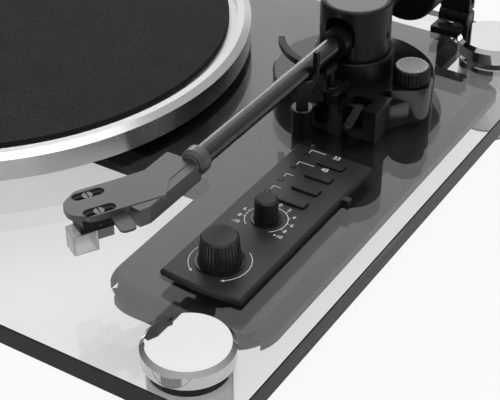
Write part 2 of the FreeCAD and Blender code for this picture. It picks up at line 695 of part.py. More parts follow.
def round_chassis(body, base, inset, name):
    """Round the outline's outward corners so that every wall keeps its thickness."""
    corners = chassis_corners(inset)
    outward = [corners[n] for n in (0, 4, 6, 7, 9)]
    outer = round_edges(body, base, lambda f: upright_edges(f, outward), S.chassis_round - inset,
                        name + "_corners")
    return round_edges(body, outer, lambda f: upright_edges(f, corners[2:4]), S.tongue_round - inset,
                       name + "_tongue")


def screw_places():
    """Bottom cover screws, one near each corner and one in the middle of the front."""
    inset = S.cover_screw_inset
    corners = chassis_corners(inset)
    (tongue, front), (_, tip), (side, _) = corners[1], corners[2], corners[4]
    recess_y = corners[4][1]
    return [(-side, front + inset), (-side, recess_y - inset), (side, recess_y - inset), (0, front),
            (tongue + inset, tip + inset), (side, tip + 2 * inset)]


chassis = new_body("sub_plinth", z=CHASSIS_BOTTOM)
skin = pad(chassis, outline(sketch_on(chassis, "XY_Plane", "chassis_outline"), chassis_corners(0)),
           S.chassis_height, "chassis_block")
skin = round_chassis(chassis, skin, as_size(0), "chassis")
inward = [chassis_corners(0)[n] for n in (1, 5, 8)]
skin = round_edges(chassis, skin, lambda f: upright_edges(f, inward), S.chassis_wall, "chassis_inner_corners")
skin = bevel_edges(chassis, skin, lambda f: level_edges(f, S.chassis_height), S.chassis_bevel,
                   "chassis_shoulder")
hollow = S.chassis_height - S.chassis_top
inner = outline(sketch_on(chassis, "XY_Plane", "chassis_inside"), chassis_corners(S.chassis_wall))
pocket(chassis, inner, "chassis_hollow", hollow - S.chassis_bevel / 2, up=True)
shelf = outline(sketch_on(chassis, "XY_Plane", "chassis_inside_top"),
                chassis_corners(S.chassis_wall + S.chassis_bevel / 2))
pocket(chassis, shelf, "chassis_hollow_top", hollow, up=True)
bosses = rings_at(sketch_on(chassis, "XY_Plane", "boss_outline", lift=S.tub_floor), screw_places(),
                  S.boss_radius)
pad(chassis, bosses, S.chassis_height - S.tub_floor - S.chassis_top / 2, "screw_bosses")
pocket(chassis, rings_at(sketch_on(chassis, "XY_Plane", "boss_threads"), screw_places(),
                         S.cover_screw_radius + S.seat_gap), "boss_holes",
       S.cover_screw_length + S.seat_gap, up=True)
through = sketch_on(chassis, "XY_Plane", "chassis_holes", lift=S.chassis_height)
ring(through, SPINDLE_X, SPINDLE_Y, S.bearing_radius + S.seat_gap)
ring(through, MOTOR_X, MOTOR_Y, S.motor_boss_radius + S.seat_gap)
ring(through, ARM_X, ARM_Y, S.pod_stem_radius + S.seat_gap)
panel_opening(through)
pocket(chassis, through, "chassis_top_holes", hollow)

TUB_X = SPINDLE_X - S.tub_left_reach
TUB_REAR = -FRONT - S.tub_rear_inset
TUB_FRONT = SPINDLE_Y - S.tub_front_reach
SOCKET_Z = TUB_BOTTOM + S.tub_floor + (S.tub_height - S.tub_floor) / 2


def tub_outline(sketch, inset):
    return box_outline(sketch, TUB_X + inset, TUB_X + S.tub_width - inset, TUB_FRONT + inset,
                       TUB_REAR - inset)


def socket_places():
    """Middle of each rear socket: two phono sockets, the earth terminal and the power inlet."""
    first = TUB_X + S.tub_width - S.socket_spacing * 1.5
    step = S.socket_spacing
    return [first, first - step, first - 2 * step, TUB_X + 2 * step]


cover = new_body("bottom_cover", z=CHASSIS_BOTTOM)
rim = S.chassis_wall + S.seat_gap
tray = pad(cover, outline(sketch_on(cover, "XY_Plane", "cover_outline"), chassis_corners(rim)),
           S.tub_floor, "cover_plate")
tray = round_chassis(cover, tray, rim, "cover")
tub = pad(cover, tub_outline(sketch_on(cover, "XY_Plane", "tub_outline"), as_size(0)), S.tub_height,
          "tub_block", down=True)
doc.recompute()
tub_corners = [(TUB_X, TUB_FRONT), (TUB_X + S.tub_width, TUB_FRONT),
               (TUB_X + S.tub_width, TUB_REAR), (TUB_X, TUB_REAR)]
tub = round_edges(cover, tub, lambda f: upright_edges(f, tub_corners), S.tub_round, "tub_corners")
pocket(cover, tub_outline(sketch_on(cover, "XY_Plane", "tub_inside", lift=S.tub_floor), S.chassis_wall),
       "tub_hollow", S.tub_height)
pocket(cover, rings_at(sketch_on(cover, "XY_Plane", "cover_screw_holes", lift=S.tub_floor), screw_places(),
                       S.cover_screw_radius + S.moving_gap), "cover_holes")
sockets_cut = sketch_on(cover, "XZ_Plane", "socket_holes", lift=-TUB_REAR)
for number, x in enumerate(socket_places()):
    barrel = S.inlet_radius if number == 3 else S.socket_radius if number < 2 else S.cover_screw_radius
    ring(sockets_cut, x, SOCKET_Z - CHASSIS_BOTTOM, barrel + S.seat_gap)
pocket(cover, sockets_cut, "socket_cutouts", S.chassis_wall, up=True)

screws = new_body("cover_screws", z=CHASSIS_BOTTOM)
pad(screws, rings_at(sketch_on(screws, "XY_Plane", "shank_outline"), screw_places(), S.cover_screw_radius),
    S.cover_screw_length, "screw_shanks")
pad(screws, rings_at(sketch_on(screws, "XY_Plane", "screw_head_outline"), screw_places(), S.cover_screw_head),
    S.cover_screw_rise, "screw_heads", down=True)

# ---- platter, bearing and drive -------------------------------------------------------------
flange_bottom = S.bearing_flange_thick + S.moving_gap
flange_top = flange_bottom + S.spindle_flange_thick
shaft_bore = S.spindle_radius + S.running_gap
well = S.spindle_below + S.running_gap + 2 * S.ball_radius

housing = new_body("bearing_housing", SPINDLE_X, SPINDLE_Y, GROUND_TO_DECK)
turned(housing, "housing_turned", [
    (0, -well - S.bearing_floor), (S.bearing_radius, -well - S.bearing_floor), (S.bearing_radius, 0),
    (S.bearing_flange_radius, 0), (S.bearing_flange_radius, S.bearing_flange_thick),
    (shaft_bore, S.bearing_flange_thick), (shaft_bore, -well), (0, -well)])

ball = new_body("thrust_ball", SPINDLE_X, SPINDLE_Y,
                GROUND_TO_DECK - S.spindle_below - S.running_gap - S.ball_radius)
sphere = ball.newObject("PartDesign::AdditiveSphere", "ball")
bind(sphere, "Radius", S.ball_radius)

web_bottom = MAT_SEAT - S.web_thick
spindle = new_body("spindle", SPINDLE_X, SPINDLE_Y, GROUND_TO_DECK)
pin_top = MAT_TOP + S.record_pin_height
pin_lead = S.record_pin_radius / 3
turned(spindle, "spindle_turned", [
    (0, -S.spindle_below), (S.spindle_radius, -S.spindle_below), (S.spindle_radius, flange_bottom),
    (S.spindle_flange_radius, flange_bottom), (S.spindle_flange_radius, flange_top),
    (S.spindle_radius, flange_top), (S.spindle_radius, MAT_TOP), (S.record_pin_radius, MAT_TOP),
    (S.record_pin_radius, pin_top - pin_lead), (S.record_pin_radius - pin_lead, pin_top), (0, pin_top)])

platter = new_body("platter", SPINDLE_X, SPINDLE_Y, GROUND_TO_DECK)
seat_bore = S.spindle_radius + S.seat_gap
bevel_inner = S.platter_radius - S.platter_bevel_width
recess = bevel_inner - S.platter_rim
rim_inner = S.platter_radius - S.platter_rim_wall
side_top = S.platter_clear + S.platter_side
belt_bottom = S.platter_clear + S.belt_rim_clear
belt_inner = S.belt_rim_radius - S.belt_rim_wall
turned(platter, "platter_turned", [
    (seat_bore, flange_top), (S.hub_radius, flange_top), (S.hub_radius, web_bottom), (belt_inner, web_bottom),
    (belt_inner, belt_bottom), (S.belt_rim_radius, belt_bottom), (S.belt_rim_radius, web_bottom),
    (rim_inner, web_bottom), (rim_inner, S.platter_clear), (S.platter_radius, S.platter_clear),
    (S.platter_radius, side_top), (bevel_inner, HUB_DROP), (recess, HUB_DROP), (recess, MAT_SEAT),
    (seat_bore, MAT_SEAT)])

mat = new_body("platter_mat", SPINDLE_X, SPINDLE_Y, GROUND_TO_DECK + MAT_SEAT)
mat_outline = sketch_on(mat, "XY_Plane", "mat_outline")
ring(mat_outline, 0, 0, S.mat_radius)
ring(mat_outline, 0, 0, S.spindle_radius + S.moving_gap)
pad(mat, mat_outline, S.mat_thick, "mat_disc")

motor_top = UNDERSIDE - S.chassis_top
motor = new_body("motor_body", MOTOR_X, MOTOR_Y, motor_top)
motor_bore = S.motor_shaft_radius + S.running_gap
motor_well = S.motor_height * 0.8
turned(motor, "motor_turned", [
    (0, -S.motor_height), (S.motor_radius, -S.motor_height), (S.motor_radius, 0), (S.motor_boss_radius, 0),
    (S.motor_boss_radius, S.motor_boss_height), (motor_bore, S.motor_boss_height), (motor_bore, -motor_well),
    (0, -motor_well)])

pulley_bottom = S.pulley_clear
pulley_top = S.pulley_clear + S.pulley_height
pulley = new_body("motor_pulley", MOTOR_X, MOTOR_Y, GROUND_TO_DECK + pulley_bottom)
pulley_outer = S.pulley_radius + S.pulley_flange
track_low = (S.pulley_height - S.belt_width) / 2 - S.moving_gap
track_high = S.pulley_height - track_low
shaft_low = pulley_bottom + S.plinth_thick + S.chassis_top + motor_well - S.moving_gap
turned(pulley, "pulley_turned", [
    (0, -shaft_low), (S.motor_shaft_radius, -shaft_low), (S.motor_shaft_radius, 0), (pulley_outer, 0),
    (pulley_outer, track_low), (S.pulley_radius, track_low), (S.pulley_radius, track_high),
    (pulley_outer, track_high), (pulley_outer, S.pulley_height), (0, S.pulley_height)])

belt_low = (S.pulley_height - S.belt_width) / 2
belt = new_body("drive_belt", SPINDLE_X, SPINDLE_Y, GROUND_TO_DECK + pulley_bottom + belt_low)
belt_path = sketch_on(belt, "XY_Plane", "belt_outline")
for extra in (S.moving_gap, S.moving_gap + S.belt_thick):
    loop(belt_path, (0, 0), (MOTOR_X - SPINDLE_X, MOTOR_Y - SPINDLE_Y), S.belt_rim_radius + extra,
         S.pulley_radius + extra)
pad(belt, belt_path, S.belt_width, "belt_loop")

# ---- control panel --------------------------------------------------------------------------
button_pitch = (S.panel_length - S.button_last - S.button_first) / 3
button_ys = [S.button_first + button_pitch * n for n in range(4)]
knob_places = [(S.pitch_x, S.pitch_y), (S.volume_x, S.volume_y)]
board_top = -S.board_drop


def button_outline(sketch, x, y, margin):
    return box_outline(sketch, x - S.button_length / 2 - margin, x + S.button_length / 2 + margin,
                       y - S.button_width / 2 - margin, y + S.button_width / 2 + margin)


panel = new_body("control_panel", PANEL_X, PANEL_Y, GROUND_TO_DECK)
panel_outline = sketch_on(panel, "XY_Plane", "panel_outline")
bow_radius = (S.panel_width * S.panel_width / 4 + S.panel_bow * S.panel_bow) / (2 * S.panel_bow)
corners = [Vector(0, 0, 0), Vector(0, float(S.panel_length), 0),
           Vector(float(S.panel_width), float(S.panel_length), 0), Vector(float(S.panel_width), 0, 0)]
for n in range(3):
    panel_outline.addGeometry(Part.LineSegment(corners[n], corners[n + 1]), False)
bow_top = Vector(float(S.panel_width) / 2, -float(S.panel_bow), 0)
panel_outline.addGeometry(Part.Arc(corners[0], bow_top, corners[3]), False)
for one, two, end in ((0, 1, 1), (1, 2, 1)):
    panel_outline.addConstraint(Sketcher.Constraint("Coincident", one, 2, two, end))
panel_outline.addConstraint(Sketcher.Constraint("Coincident", 3, 1, 0, 1))
panel_outline.addConstraint(Sketcher.Constraint("Coincident", 3, 2, 2, 2))
fix_point(panel_outline, 0, 1, 0, 0)
fix_point(panel_outline, 1, 1, 0, S.panel_length)
fix_point(panel_outline, 2, 1, S.panel_width, S.panel_length)
fix_point(panel_outline, 3, 2, S.panel_width, 0)
bow = panel_outline.addConstraint(Sketcher.Constraint("Radius", 3, float(bow_radius)))
bind(panel_outline, "Constraints[%d]" % bow, bow_radius)
plate = pad(panel, panel_outline, S.panel_thick, "panel_plate")
plate = bevel_edges(panel, plate, lambda f: level_edges(f, S.panel_thick), S.panel_bevel, "panel_bevel")
pad(panel, box_outline(sketch_on(panel, "XY_Plane", "lug_outline"), S.panel_width - S.panel_bevel,
                       S.panel_width + S.lug_width, S.lug_y - S.lug_width / 2, S.lug_y + S.lug_width / 2),
    S.lug_height, "panel_lug")
inset = S.opening_margin + S.standoff_radius + S.panel_bevel
standoffs = sketch_on(panel, "XY_Plane", "standoff_outline")
rings_at(standoffs, [(x, y) for x in (inset, S.panel_width - inset) for y in (inset, S.pitch_y + inset)],
         S.standoff_radius)
pad(panel, standoffs, S.board_drop, "panel_standoffs", down=True)
windows = sketch_on(panel, "XY_Plane", "panel_windows", lift=S.panel_thick)
for y in button_ys:
    button_outline(windows, S.button_x, y, S.moving_gap)
    ring(windows, S.lamp_x, y + S.lamp_shift, S.lamp_radius + S.seat_gap)
for x, y in knob_places:
    ring(windows, x, y, S.knob_shaft_radius + S.moving_gap)
panel_cut = pocket(panel, windows, "panel_openings", S.panel_thick)
half_hole = (S.button_length / 2 + S.moving_gap, S.button_width / 2 + S.moving_gap)
hole_corners = [(S.button_x + sx * half_hole[0], y + sy * half_hole[1])
                for y in button_ys for sx in (-1, 1) for sy in (-1, 1)]
round_edges(panel, panel_cut, lambda f: upright_edges(f, hole_corners), S.button_round + S.moving_gap,
            "panel_opening_corners")

board = new_body("control_board", PANEL_X, PANEL_Y, GROUND_TO_DECK + board_top - S.board_thick)
edge = S.opening_margin + S.moving_gap
pad(board, box_outline(sketch_on(board, "XY_Plane", "board_outline"), edge, S.panel_width - edge, edge,
                       S.panel_length - edge), S.board_thick, "board_plate")

pots = new_body("potentiometers", PANEL_X, PANEL_Y, GROUND_TO_DECK + board_top)
pot_half, pot_height = S.knob_shaft_radius * 2, S.board_drop - 1
pot_outline = sketch_on(pots, "XY_Plane", "pot_outline")
for x, y in knob_places:
    box_outline(pot_outline, x - pot_half, x + pot_half, y - pot_half, y + pot_half)
pad(pots, pot_outline, pot_height, "pot_cases")
pocket(pots, rings_at(sketch_on(pots, "XY_Plane", "pot_bores", lift=pot_height), knob_places,
                      S.knob_shaft_radius + S.running_gap), "pot_shaft_bores", pot_height - 0.5)

switches = new_body("tact_switches", PANEL_X, PANEL_Y, GROUND_TO_DECK + board_top)
switch_half, switch_height = S.button_width / 2, S.board_drop / 2
switch_outline = sketch_on(switches, "XY_Plane", "switch_outline")
for y in button_ys:
    box_outline(switch_outline, S.button_x - switch_half, S.button_x + switch_half, y - switch_half,
                y + switch_half)
pad(switches, switch_outline, switch_height, "switch_cases")
pad(switches, rings_at(sketch_on(switches, "XY_Plane", "plunger_outline", lift=switch_height),
                       [(S.button_x, y) for y in button_ys], S.lamp_radius), S.plinth_edge, "switch_plungers")

lamps = new_body("panel_leds", PANEL_X, PANEL_Y, GROUND_TO_DECK + board_top)
lamp_height = S.board_drop + S.panel_thick + S.plinth_edge / 2
lamp_pad = pad(lamps, rings_at(sketch_on(lamps, "XY_Plane", "lamp_outline"),
                               [(S.lamp_x, y + S.lamp_shift) for y in button_ys], S.lamp_radius),
               lamp_height, "lamp_bodies")
bevel_edges(lamps, lamp_pad, lambda f: level_edges(f, lamp_height), S.plinth_edge, "lamp_domes")


def add_button(label, y):
    """A cap that slides in its window, held from below by a flange."""
    button = new_body(label, PANEL_X + S.button_x, PANEL_Y + y, GROUND_TO_DECK)
    flange = S.button_travel
    bottom = -S.moving_gap - flange
    cap = pad(button, button_outline(sketch_on(button, "XY_Plane", label + "_outline", lift=bottom), 0, 0, 0),
              S.panel_thick + S.button_rise - bottom, label + "_cap")
    places = [(sx * S.button_length / 2, sy * S.button_width / 2) for sx in (-1, 1) for sy in (-1, 1)]
    cap = round_edges(button, cap, lambda f: upright_edges(f, places), S.button_round, label + "_corners")
    top = S.panel_thick + S.button_rise
    bevel_edges(button, cap, lambda f: level_edges(f, top), S.moving_gap, label + "_edge")
    pad(button, button_outline(sketch_on(button, "XY_Plane", label + "_flange_outline", lift=bottom), 0, 0,
                               S.moving_gap + S.plinth_edge), flange, label + "_flange")


for label, y in zip(("button_start", "button_pair", "button_45", "button_33"), button_ys):
    add_button(label, y)


def add_knob(label, place, foot, top, height, grooves):
    """A tapered knob with grip grooves, and its shaft down to the potentiometer."""
    x, y = place
    base = S.panel_thick + S.knob_lift
    knob = new_body(label, PANEL_X + x, PANEL_Y + y, GROUND_TO_DECK + base)
    shaft_down = base + S.board_drop - S.moving_gap - S.plinth_edge
    crown = S.knob_crown
    turned(knob, label + "_turned", [
        (0, -shaft_down), (S.knob_shaft_radius, -shaft_down), (S.knob_shaft_radius, 0), (foot, 0),
        (top, height - crown), (top - crown, height), (0, height)])
    flute = outline(sketch_on(knob, "XZ_Plane", label + "_flute_outline", lift=S.knob_flute / 2), [
        (foot - S.knob_flute, crown), (foot + 1, crown), (top + 1, height - crown),
        (top - S.knob_flute, height - crown)])
    cut = pocket(knob, flute, label + "_flute", S.knob_flute)
    around(knob, cut, grooves, label + "_flutes")


add_knob("pitch_knob", knob_places[0], S.pitch_radius, S.pitch_top_radius, S.pitch_height, 24)
add_knob("volume_knob", knob_places[1], S.volume_radius, S.volume_top_radius, S.volume_height, 36)

seats = new_body("knob_seats", PANEL_X, PANEL_Y, GROUND_TO_DECK + S.panel_thick)
seat_outline = sketch_on(seats, "XY_Plane", "seat_outline")
for (x, y), foot in zip(knob_places, (S.pitch_radius, S.volume_radius)):
    ring(seat_outline, x, y, foot + S.moving_gap)
    ring(seat_outline, x, y, foot + S.moving_gap + S.ring_width)
pad(seats, seat_outline, S.ring_rise, "seat_rings")

# ---- tonearm base ---------------------------------------------------------------------------
lift_place = (S.lift_reach * sin(S.lift_angle), -S.lift_reach * cos(S.lift_angle))
skate_place = (S.boss_shift_x, S.boss_shift_y)
cue_left = S.cue_shift_x - S.cue_width / 2
cue_right = S.cue_shift_x + S.cue_width / 2

pod = new_body("arm_pod", ARM_X, ARM_Y, GROUND_TO_DECK)
pod_disc = pad(pod, ring(sketch_on(pod, "XY_Plane", "pod_outline"), S.pod_shift_x, S.pod_shift_y,
                         S.pod_radius), S.pod_height, "pod_disc")
pod_disc = bevel_edges(pod, pod_disc, lambda f: level_edges(f, S.pod_height), S.pod_bevel, "pod_edge")
pad(pod, outline(sketch_on(pod, "XY_Plane", "block_outline"), [
    (-S.block_left, -S.block_front), (cue_left, -S.block_front), (cue_left, -S.block_front + S.cheek_step),
    (S.block_right, -S.block_front + S.cheek_step), (S.block_right, -S.pod_stem_radius),
    (-S.block_left, -S.pod_stem_radius)]), S.block_height, "lift_block")
pad(pod, ring(sketch_on(pod, "XY_Plane", "boss_outline"), *skate_place, S.skate_boss_radius), TIER_TOP,
    "skate_boss")
pad(pod, loop(sketch_on(pod, "XY_Plane", "tier_outline", lift=S.pod_height / 2), (0, 0), skate_place,
              S.tier_radius, S.skate_boss_radius), S.pod_height / 2 + S.tier_height, "pod_tier")
slot_top = sketch_on(pod, "XY_Plane", "cue_slot_outline", lift=TIER_TOP)
box_outline(slot_top, cue_left, cue_right, -S.block_front - 1, -S.block_front + S.cue_depth)
pocket(pod, slot_top, "cue_slot", TIER_TOP - S.cue_floor)
cue_axis = ring(sketch_on(pod, "YZ_Plane", "cue_axis_outline", lift=cue_left - S.cue_width / 2), -S.cue_reach,
                S.cue_height, S.cue_pin_radius + S.running_gap)
pocket(pod, cue_axis, "cue_axis_bore", S.cue_width * 2, up=True)
pocket(pod, ring(sketch_on(pod, "XY_Plane", "cylinder_seat", lift=S.block_height), *lift_place,
                 S.lift_radius + S.seat_gap), "pod_cylinder_seat", S.block_height - S.cue_floor)
stem_length = S.plinth_thick + S.chassis_top + S.pod_nut_height
pad(pod, ring(sketch_on(pod, "XY_Plane", "stem_outline"), 0, 0, S.pod_stem_radius), stem_length,
    "pod_stem", down=True)
post_seat = S.tier_height
post_hole = ring(sketch_on(pod, "XY_Plane", "post_seat", lift=TIER_TOP), 0, 0, S.post_radius + S.seat_gap)
pocket(pod, post_hole, "pod_post_hole", post_seat)
skate_depth = S.tier_height - 1
pocket(pod, ring(sketch_on(pod, "XY_Plane", "skate_bore", lift=TIER_TOP), *skate_place,
                 S.skate_pin_radius + S.running_gap), "pod_skate_bore", skate_depth + S.moving_gap)
pocket(pod, ring(sketch_on(pod, "XY_Plane", "wire_bore", lift=-stem_length), 0, 0, S.pod_stem_radius / 2),
       "pod_wire_bore", stem_length + S.pod_height / 2, up=True)

nut = new_body("arm_base_nut", ARM_X, ARM_Y, UNDERSIDE - S.chassis_top - S.pod_nut_height)
nut_outline = sketch_on(nut, "XY_Plane", "nut_outline")
ring(nut_outline, 0, 0, S.pod_nut_radius)
ring(nut_outline, 0, 0, S.pod_stem_radius + S.seat_gap)
pad(nut, nut_outline, S.pod_nut_height, "nut_ring")

collar = new_body("arm_collar", ARM_X, ARM_Y, GROUND_TO_DECK + TIER_TOP)
collar_inner = S.tower_radius + S.moving_gap
turned(collar, "collar_turned", [
    (collar_inner, 0), (S.collar_radius, 0), (S.collar_radius, S.collar_height - S.plinth_edge),
    (S.collar_radius - S.plinth_edge, S.collar_height), (collar_inner, S.collar_height)])

tower_low = S.moving_gap
tower_high = S.collar_height + S.tower_rise
tower_inner = S.tower_radius - S.tower_wall
post = new_body("arm_post", ARM_X, ARM_Y, GROUND_TO_DECK + TIER_TOP)
clip_low = tower_low + S.tower_floor + S.moving_gap
clip_high = clip_low + S.pod_bevel * 2
turned(post, "post_turned", [
    (0, -post_seat), (S.post_radius, -post_seat), (S.post_radius, clip_low), (S.post_radius * 1.6, clip_low),
    (S.post_radius * 1.6, clip_high), (0, clip_high)])

tower = new_body("tower_housing", ARM_X, ARM_Y, GROUND_TO_DECK + TIER_TOP)
floor_top = tower_low + S.tower_floor
post_bore = S.post_radius + S.running_gap
turned(tower, "tower_turned", [
    (post_bore, tower_low), (S.tower_radius, tower_low), (S.tower_radius, tower_high - S.tower_bevel),
    (S.tower_radius - S.tower_bevel, tower_high), (tower_inner, tower_high), (tower_inner, floor_top),
    (post_bore, floor_top)])
pivot_rise = S.pivot_height - TIER_TOP
arch_middle = pivot_rise + S.window_lift
cut_both_ways(tower, box_outline(sketch_on(tower, "XZ_Plane", "window_sides"), -S.window_half, S.window_half,
                                 S.collar_height, arch_middle), "tower_window_sides")
cut_both_ways(tower, ring(sketch_on(tower, "XZ_Plane", "window_arch"), 0, arch_middle, S.window_half),
              "tower_window_arches")
cut_both_ways(tower, ring(sketch_on(tower, "YZ_Plane", "pivot_bores"), 0, pivot_rise,
                          S.pin_radius + S.seat_gap), "tower_pivot_bores")

tower_cap = new_body("tower_cap", ARM_X, ARM_Y,
                     GROUND_TO_DECK + TOWER_TOP - S.tower_cap_sink - S.tower_cap_thick)
cap_outer = tower_inner - S.seat_gap
turned(tower_cap, "tower_cap_turned", [
    (0, 0), (cap_outer, 0), (cap_outer, S.tower_cap_thick - S.plinth_edge),
    (cap_outer - S.plinth_edge, S.tower_cap_thick), (0, S.tower_cap_thick)])

skate_knob = new_body("anti_skate_knob", ARM_X + skate_place[0], ARM_Y + skate_place[1],
                      GROUND_TO_DECK + TIER_TOP)
turned(skate_knob, "skate_turned", [
    (0, -skate_depth), (S.skate_pin_radius, -skate_depth), (S.skate_pin_radius, S.moving_gap),
    (S.skate_radius, S.moving_gap), (S.skate_radius, S.skate_height - S.pod_bevel),
    (S.skate_radius - S.pod_bevel, S.skate_height), (0, S.skate_height)])
skate_flute = ring(sketch_on(skate_knob, "XY_Plane", "skate_flute_outline", lift=S.skate_height),
                   S.skate_radius + S.knob_flute, 0, S.knob_flute * 1.8)
around(skate_knob, pocket(skate_knob, skate_flute, "skate_flute", S.skate_height * 0.75), 28, "skate_flutes")


# ---- tonearm: every piece is drawn about the crossing of the two pivot axes --------------------
def arm_body(label, down=0):
    return new_body(label, ARM_X, ARM_Y, PIVOT_Z - down)


def rod(body, name, front, rear, radius, bore=None):
    """A round bar or tube along the arm between two distances from the pivot, front negative."""
    sketch = sketch_on(body, "XZ_Plane", name + "_outline", lift=-front)
    ring(sketch, 0, 0, radius)
    if bore is not None:
        ring(sketch, 0, 0, bore)
    return pad(body, sketch, rear - front, name, down=True)


screws_out = new_body("pivot_screws", ARM_X, ARM_Y, PIVOT_Z)
pin_inner = S.gimbal_radius - S.pin_depth
pin_length = S.tower_radius - pin_inner - S.plinth_edge
pad(screws_out, ring(sketch_on(screws_out, "YZ_Plane", "right_pin_outline", lift=pin_inner), 0, 0,
                     S.pin_radius),
    pin_length, "right_pin")
pad(screws_out, ring(sketch_on(screws_out, "YZ_Plane", "left_pin_outline", lift=-pin_inner), 0, 0,
                     S.pin_radius),
    pin_length, "left_pin", down=True)

block = arm_body("gimbal_block")
block_bar = rod(block, "block_bar", -S.gimbal_front, S.gimbal_rear, S.gimbal_radius)
pocket(block, ring(sketch_on(block, "XZ_Plane", "tube_seat", lift=S.gimbal_front), 0, 0,
                   S.tube_radius + S.seat_gap), "block_tube_seat", S.tube_grip + S.seat_gap)
rod(block, "rear_stub", S.gimbal_rear, S.stub_end, S.stub_radius)
bore_depth = S.pin_depth + S.moving_gap
for side, name in ((1, "right"), (-1, "left")):
    bore = ring(sketch_on(block, "YZ_Plane", name + "_pivot_bore", lift=side * S.gimbal_radius), 0, 0,
                S.pin_radius + S.running_gap)
    pocket(block, bore, "block_%s_bore" % name, bore_depth, up=side < 0)

tube = arm_body("arm_tube")
rod(tube, "tube_wall", -S.tube_end, -S.gimbal_front + S.tube_grip, S.tube_radius, S.tube_radius - S.tube_wall)


def on_head(across, back):
    """A place on the headshell, from the middle of the cartridge screws, in the arm's frame."""
    turn = S.head_angle
    return (S.head_x + across * cos(turn) + back * sin(turn),
            S.head_y - across * sin(turn) + back * cos(turn))


def head_box(sketch, left, right, front, back):
    corners = ((left, front), (right, front), (right, back), (left, back))
    return outline(sketch, [on_head(x, y) for x, y in corners])


def front_rim(feature, y):
    """Circles that lie wholly at one distance from the pivot."""
    names = []
    for number, edge in enumerate(feature.Shape.Edges, start=1):
        box = edge.BoundBox
        if abs(box.YMin - float(y)) < 1e-4 and abs(box.YMax - float(y)) < 1e-4:
            names.append("Edge%d" % number)
    return names


head = arm_body("headshell")
sleeve_front = -S.tube_end - S.sleeve_lap
sleeve_rear = sleeve_front + S.sleeve_length
neck_rear = S.neck_lap - S.tube_end
sleeve = rod(head, "head_sleeve", sleeve_front, sleeve_rear, S.sleeve_radius)
bevel_edges(head, sleeve, lambda f: front_rim(f, sleeve_front), S.sleeve_bevel, "sleeve_cone")
keel = outline(sketch_on(head, "XY_Plane", "keel_outline", lift=-S.keel_bottom), [
    (-S.keel_left, neck_rear), (-S.keel_left, -S.keel_corner), (-S.keel_left, -S.keel_end + 1),
    (S.keel_right / 2, -S.keel_end), (S.keel_right, -S.keel_corner), (S.keel_right, neck_rear)])
keel_pad = pad(head, keel, S.keel_bottom + S.keel_top, "keel_beam")
plate_outline = outline(sketch_on(head, "XY_Plane", "plate_outline", lift=S.head_top - S.head_thick), [
    (-S.neck_left, neck_rear), (-S.neck_left, -S.neck_end), on_head(-S.head_left, S.head_tail / 2),
    on_head(-S.head_left, -S.head_taper), on_head(-S.head_nose_half, -S.head_nose),
    on_head(S.head_nose_half, -S.head_nose), on_head(S.head_right, -S.head_taper),
    on_head(S.head_right, S.head_tail), (-S.neck_right, -S.neck_end), (-S.neck_right, neck_rear)])
head_plate = pad(head, plate_outline, S.head_thick, "head_plate")
nose_corners = [on_head(x, y) for x, y in (
    (-S.head_left, -S.head_taper), (-S.head_nose_half, -S.head_nose), (S.head_nose_half, -S.head_nose),
    (S.head_right, -S.head_taper))]
head_plate = round_edges(head, head_plate, lambda f: upright_edges(f, nose_corners), S.head_round,
                         "head_corners")
pocket(head, ring(sketch_on(head, "XZ_Plane", "sleeve_bore", lift=-sleeve_rear), 0, 0,
                  S.tube_radius + S.seat_gap), "head_tube_seat",
       sleeve_rear + S.tube_end + S.seat_gap, up=True)
for name, half, depth in (("wide", S.slot_half_width, S.slot_step),
                          ("narrow", S.slot_low_half, S.head_thick)):
    slots = sketch_on(head, "XY_Plane", name + "_slot_outline", lift=S.head_top)
    for side in (-1, 1):
        across = side * S.slot_spacing / 2
        loop(slots, on_head(across, -S.slot_front), on_head(across, S.slot_rear), half)
    pocket(head, slots, name + "_slots", depth)

tab = arm_body("finger_lift")
tab_ends = [(S.cartridge_half + S.moving_gap, S.lift_tab_y - S.lift_tab_width / 2),
            (S.lift_tab_reach, S.lift_tab_y + S.lift_tab_width / 2)]
tab_plate = pad(tab, head_box(sketch_on(tab, "XY_Plane", "tab_outline", lift=S.head_top - S.head_thick
                                        - S.lift_tab_thick), *[spot[0] for spot in tab_ends],
                              *[spot[1] for spot in tab_ends]), S.lift_tab_thick, "lift_tab")
outer_corners = [on_head(S.lift_tab_reach, end[1]) for end in tab_ends]
round_edges(tab, tab_plate, lambda f: upright_edges(f, outer_corners), S.lift_tab_round, "tab_corners")

screw_spots = [on_head(side * S.slot_spacing / 2, 0) for side in (-1, 1)]
head_screws = arm_body("headshell_screws")
plate_bottom = S.head_top - S.head_thick
grip = S.cartridge_height / 2
seat = S.head_top - S.slot_step
pad(head_screws, rings_at(sketch_on(head_screws, "XY_Plane", "shank_outlines", lift=plate_bottom - grip),
                          screw_spots,
                          S.head_screw_radius), seat - plate_bottom + grip, "cartridge_shanks")
head_tops = pad(head_screws, rings_at(sketch_on(head_screws, "XY_Plane", "head_outlines", lift=seat),
                                      screw_spots,
                                      S.head_screw_head), S.head_screw_rise, "cartridge_screw_heads")
driver = sketch_on(head_screws, "XY_Plane", "driver_outline", lift=seat + S.head_screw_rise)
for side in (-1, 1):
    middle = side * S.slot_spacing / 2
    head_box(driver, middle - S.head_screw_head, middle + S.head_screw_head, -S.moving_gap, S.moving_gap)
pocket(head_screws, driver, "driver_slots", S.head_screw_rise / 2)

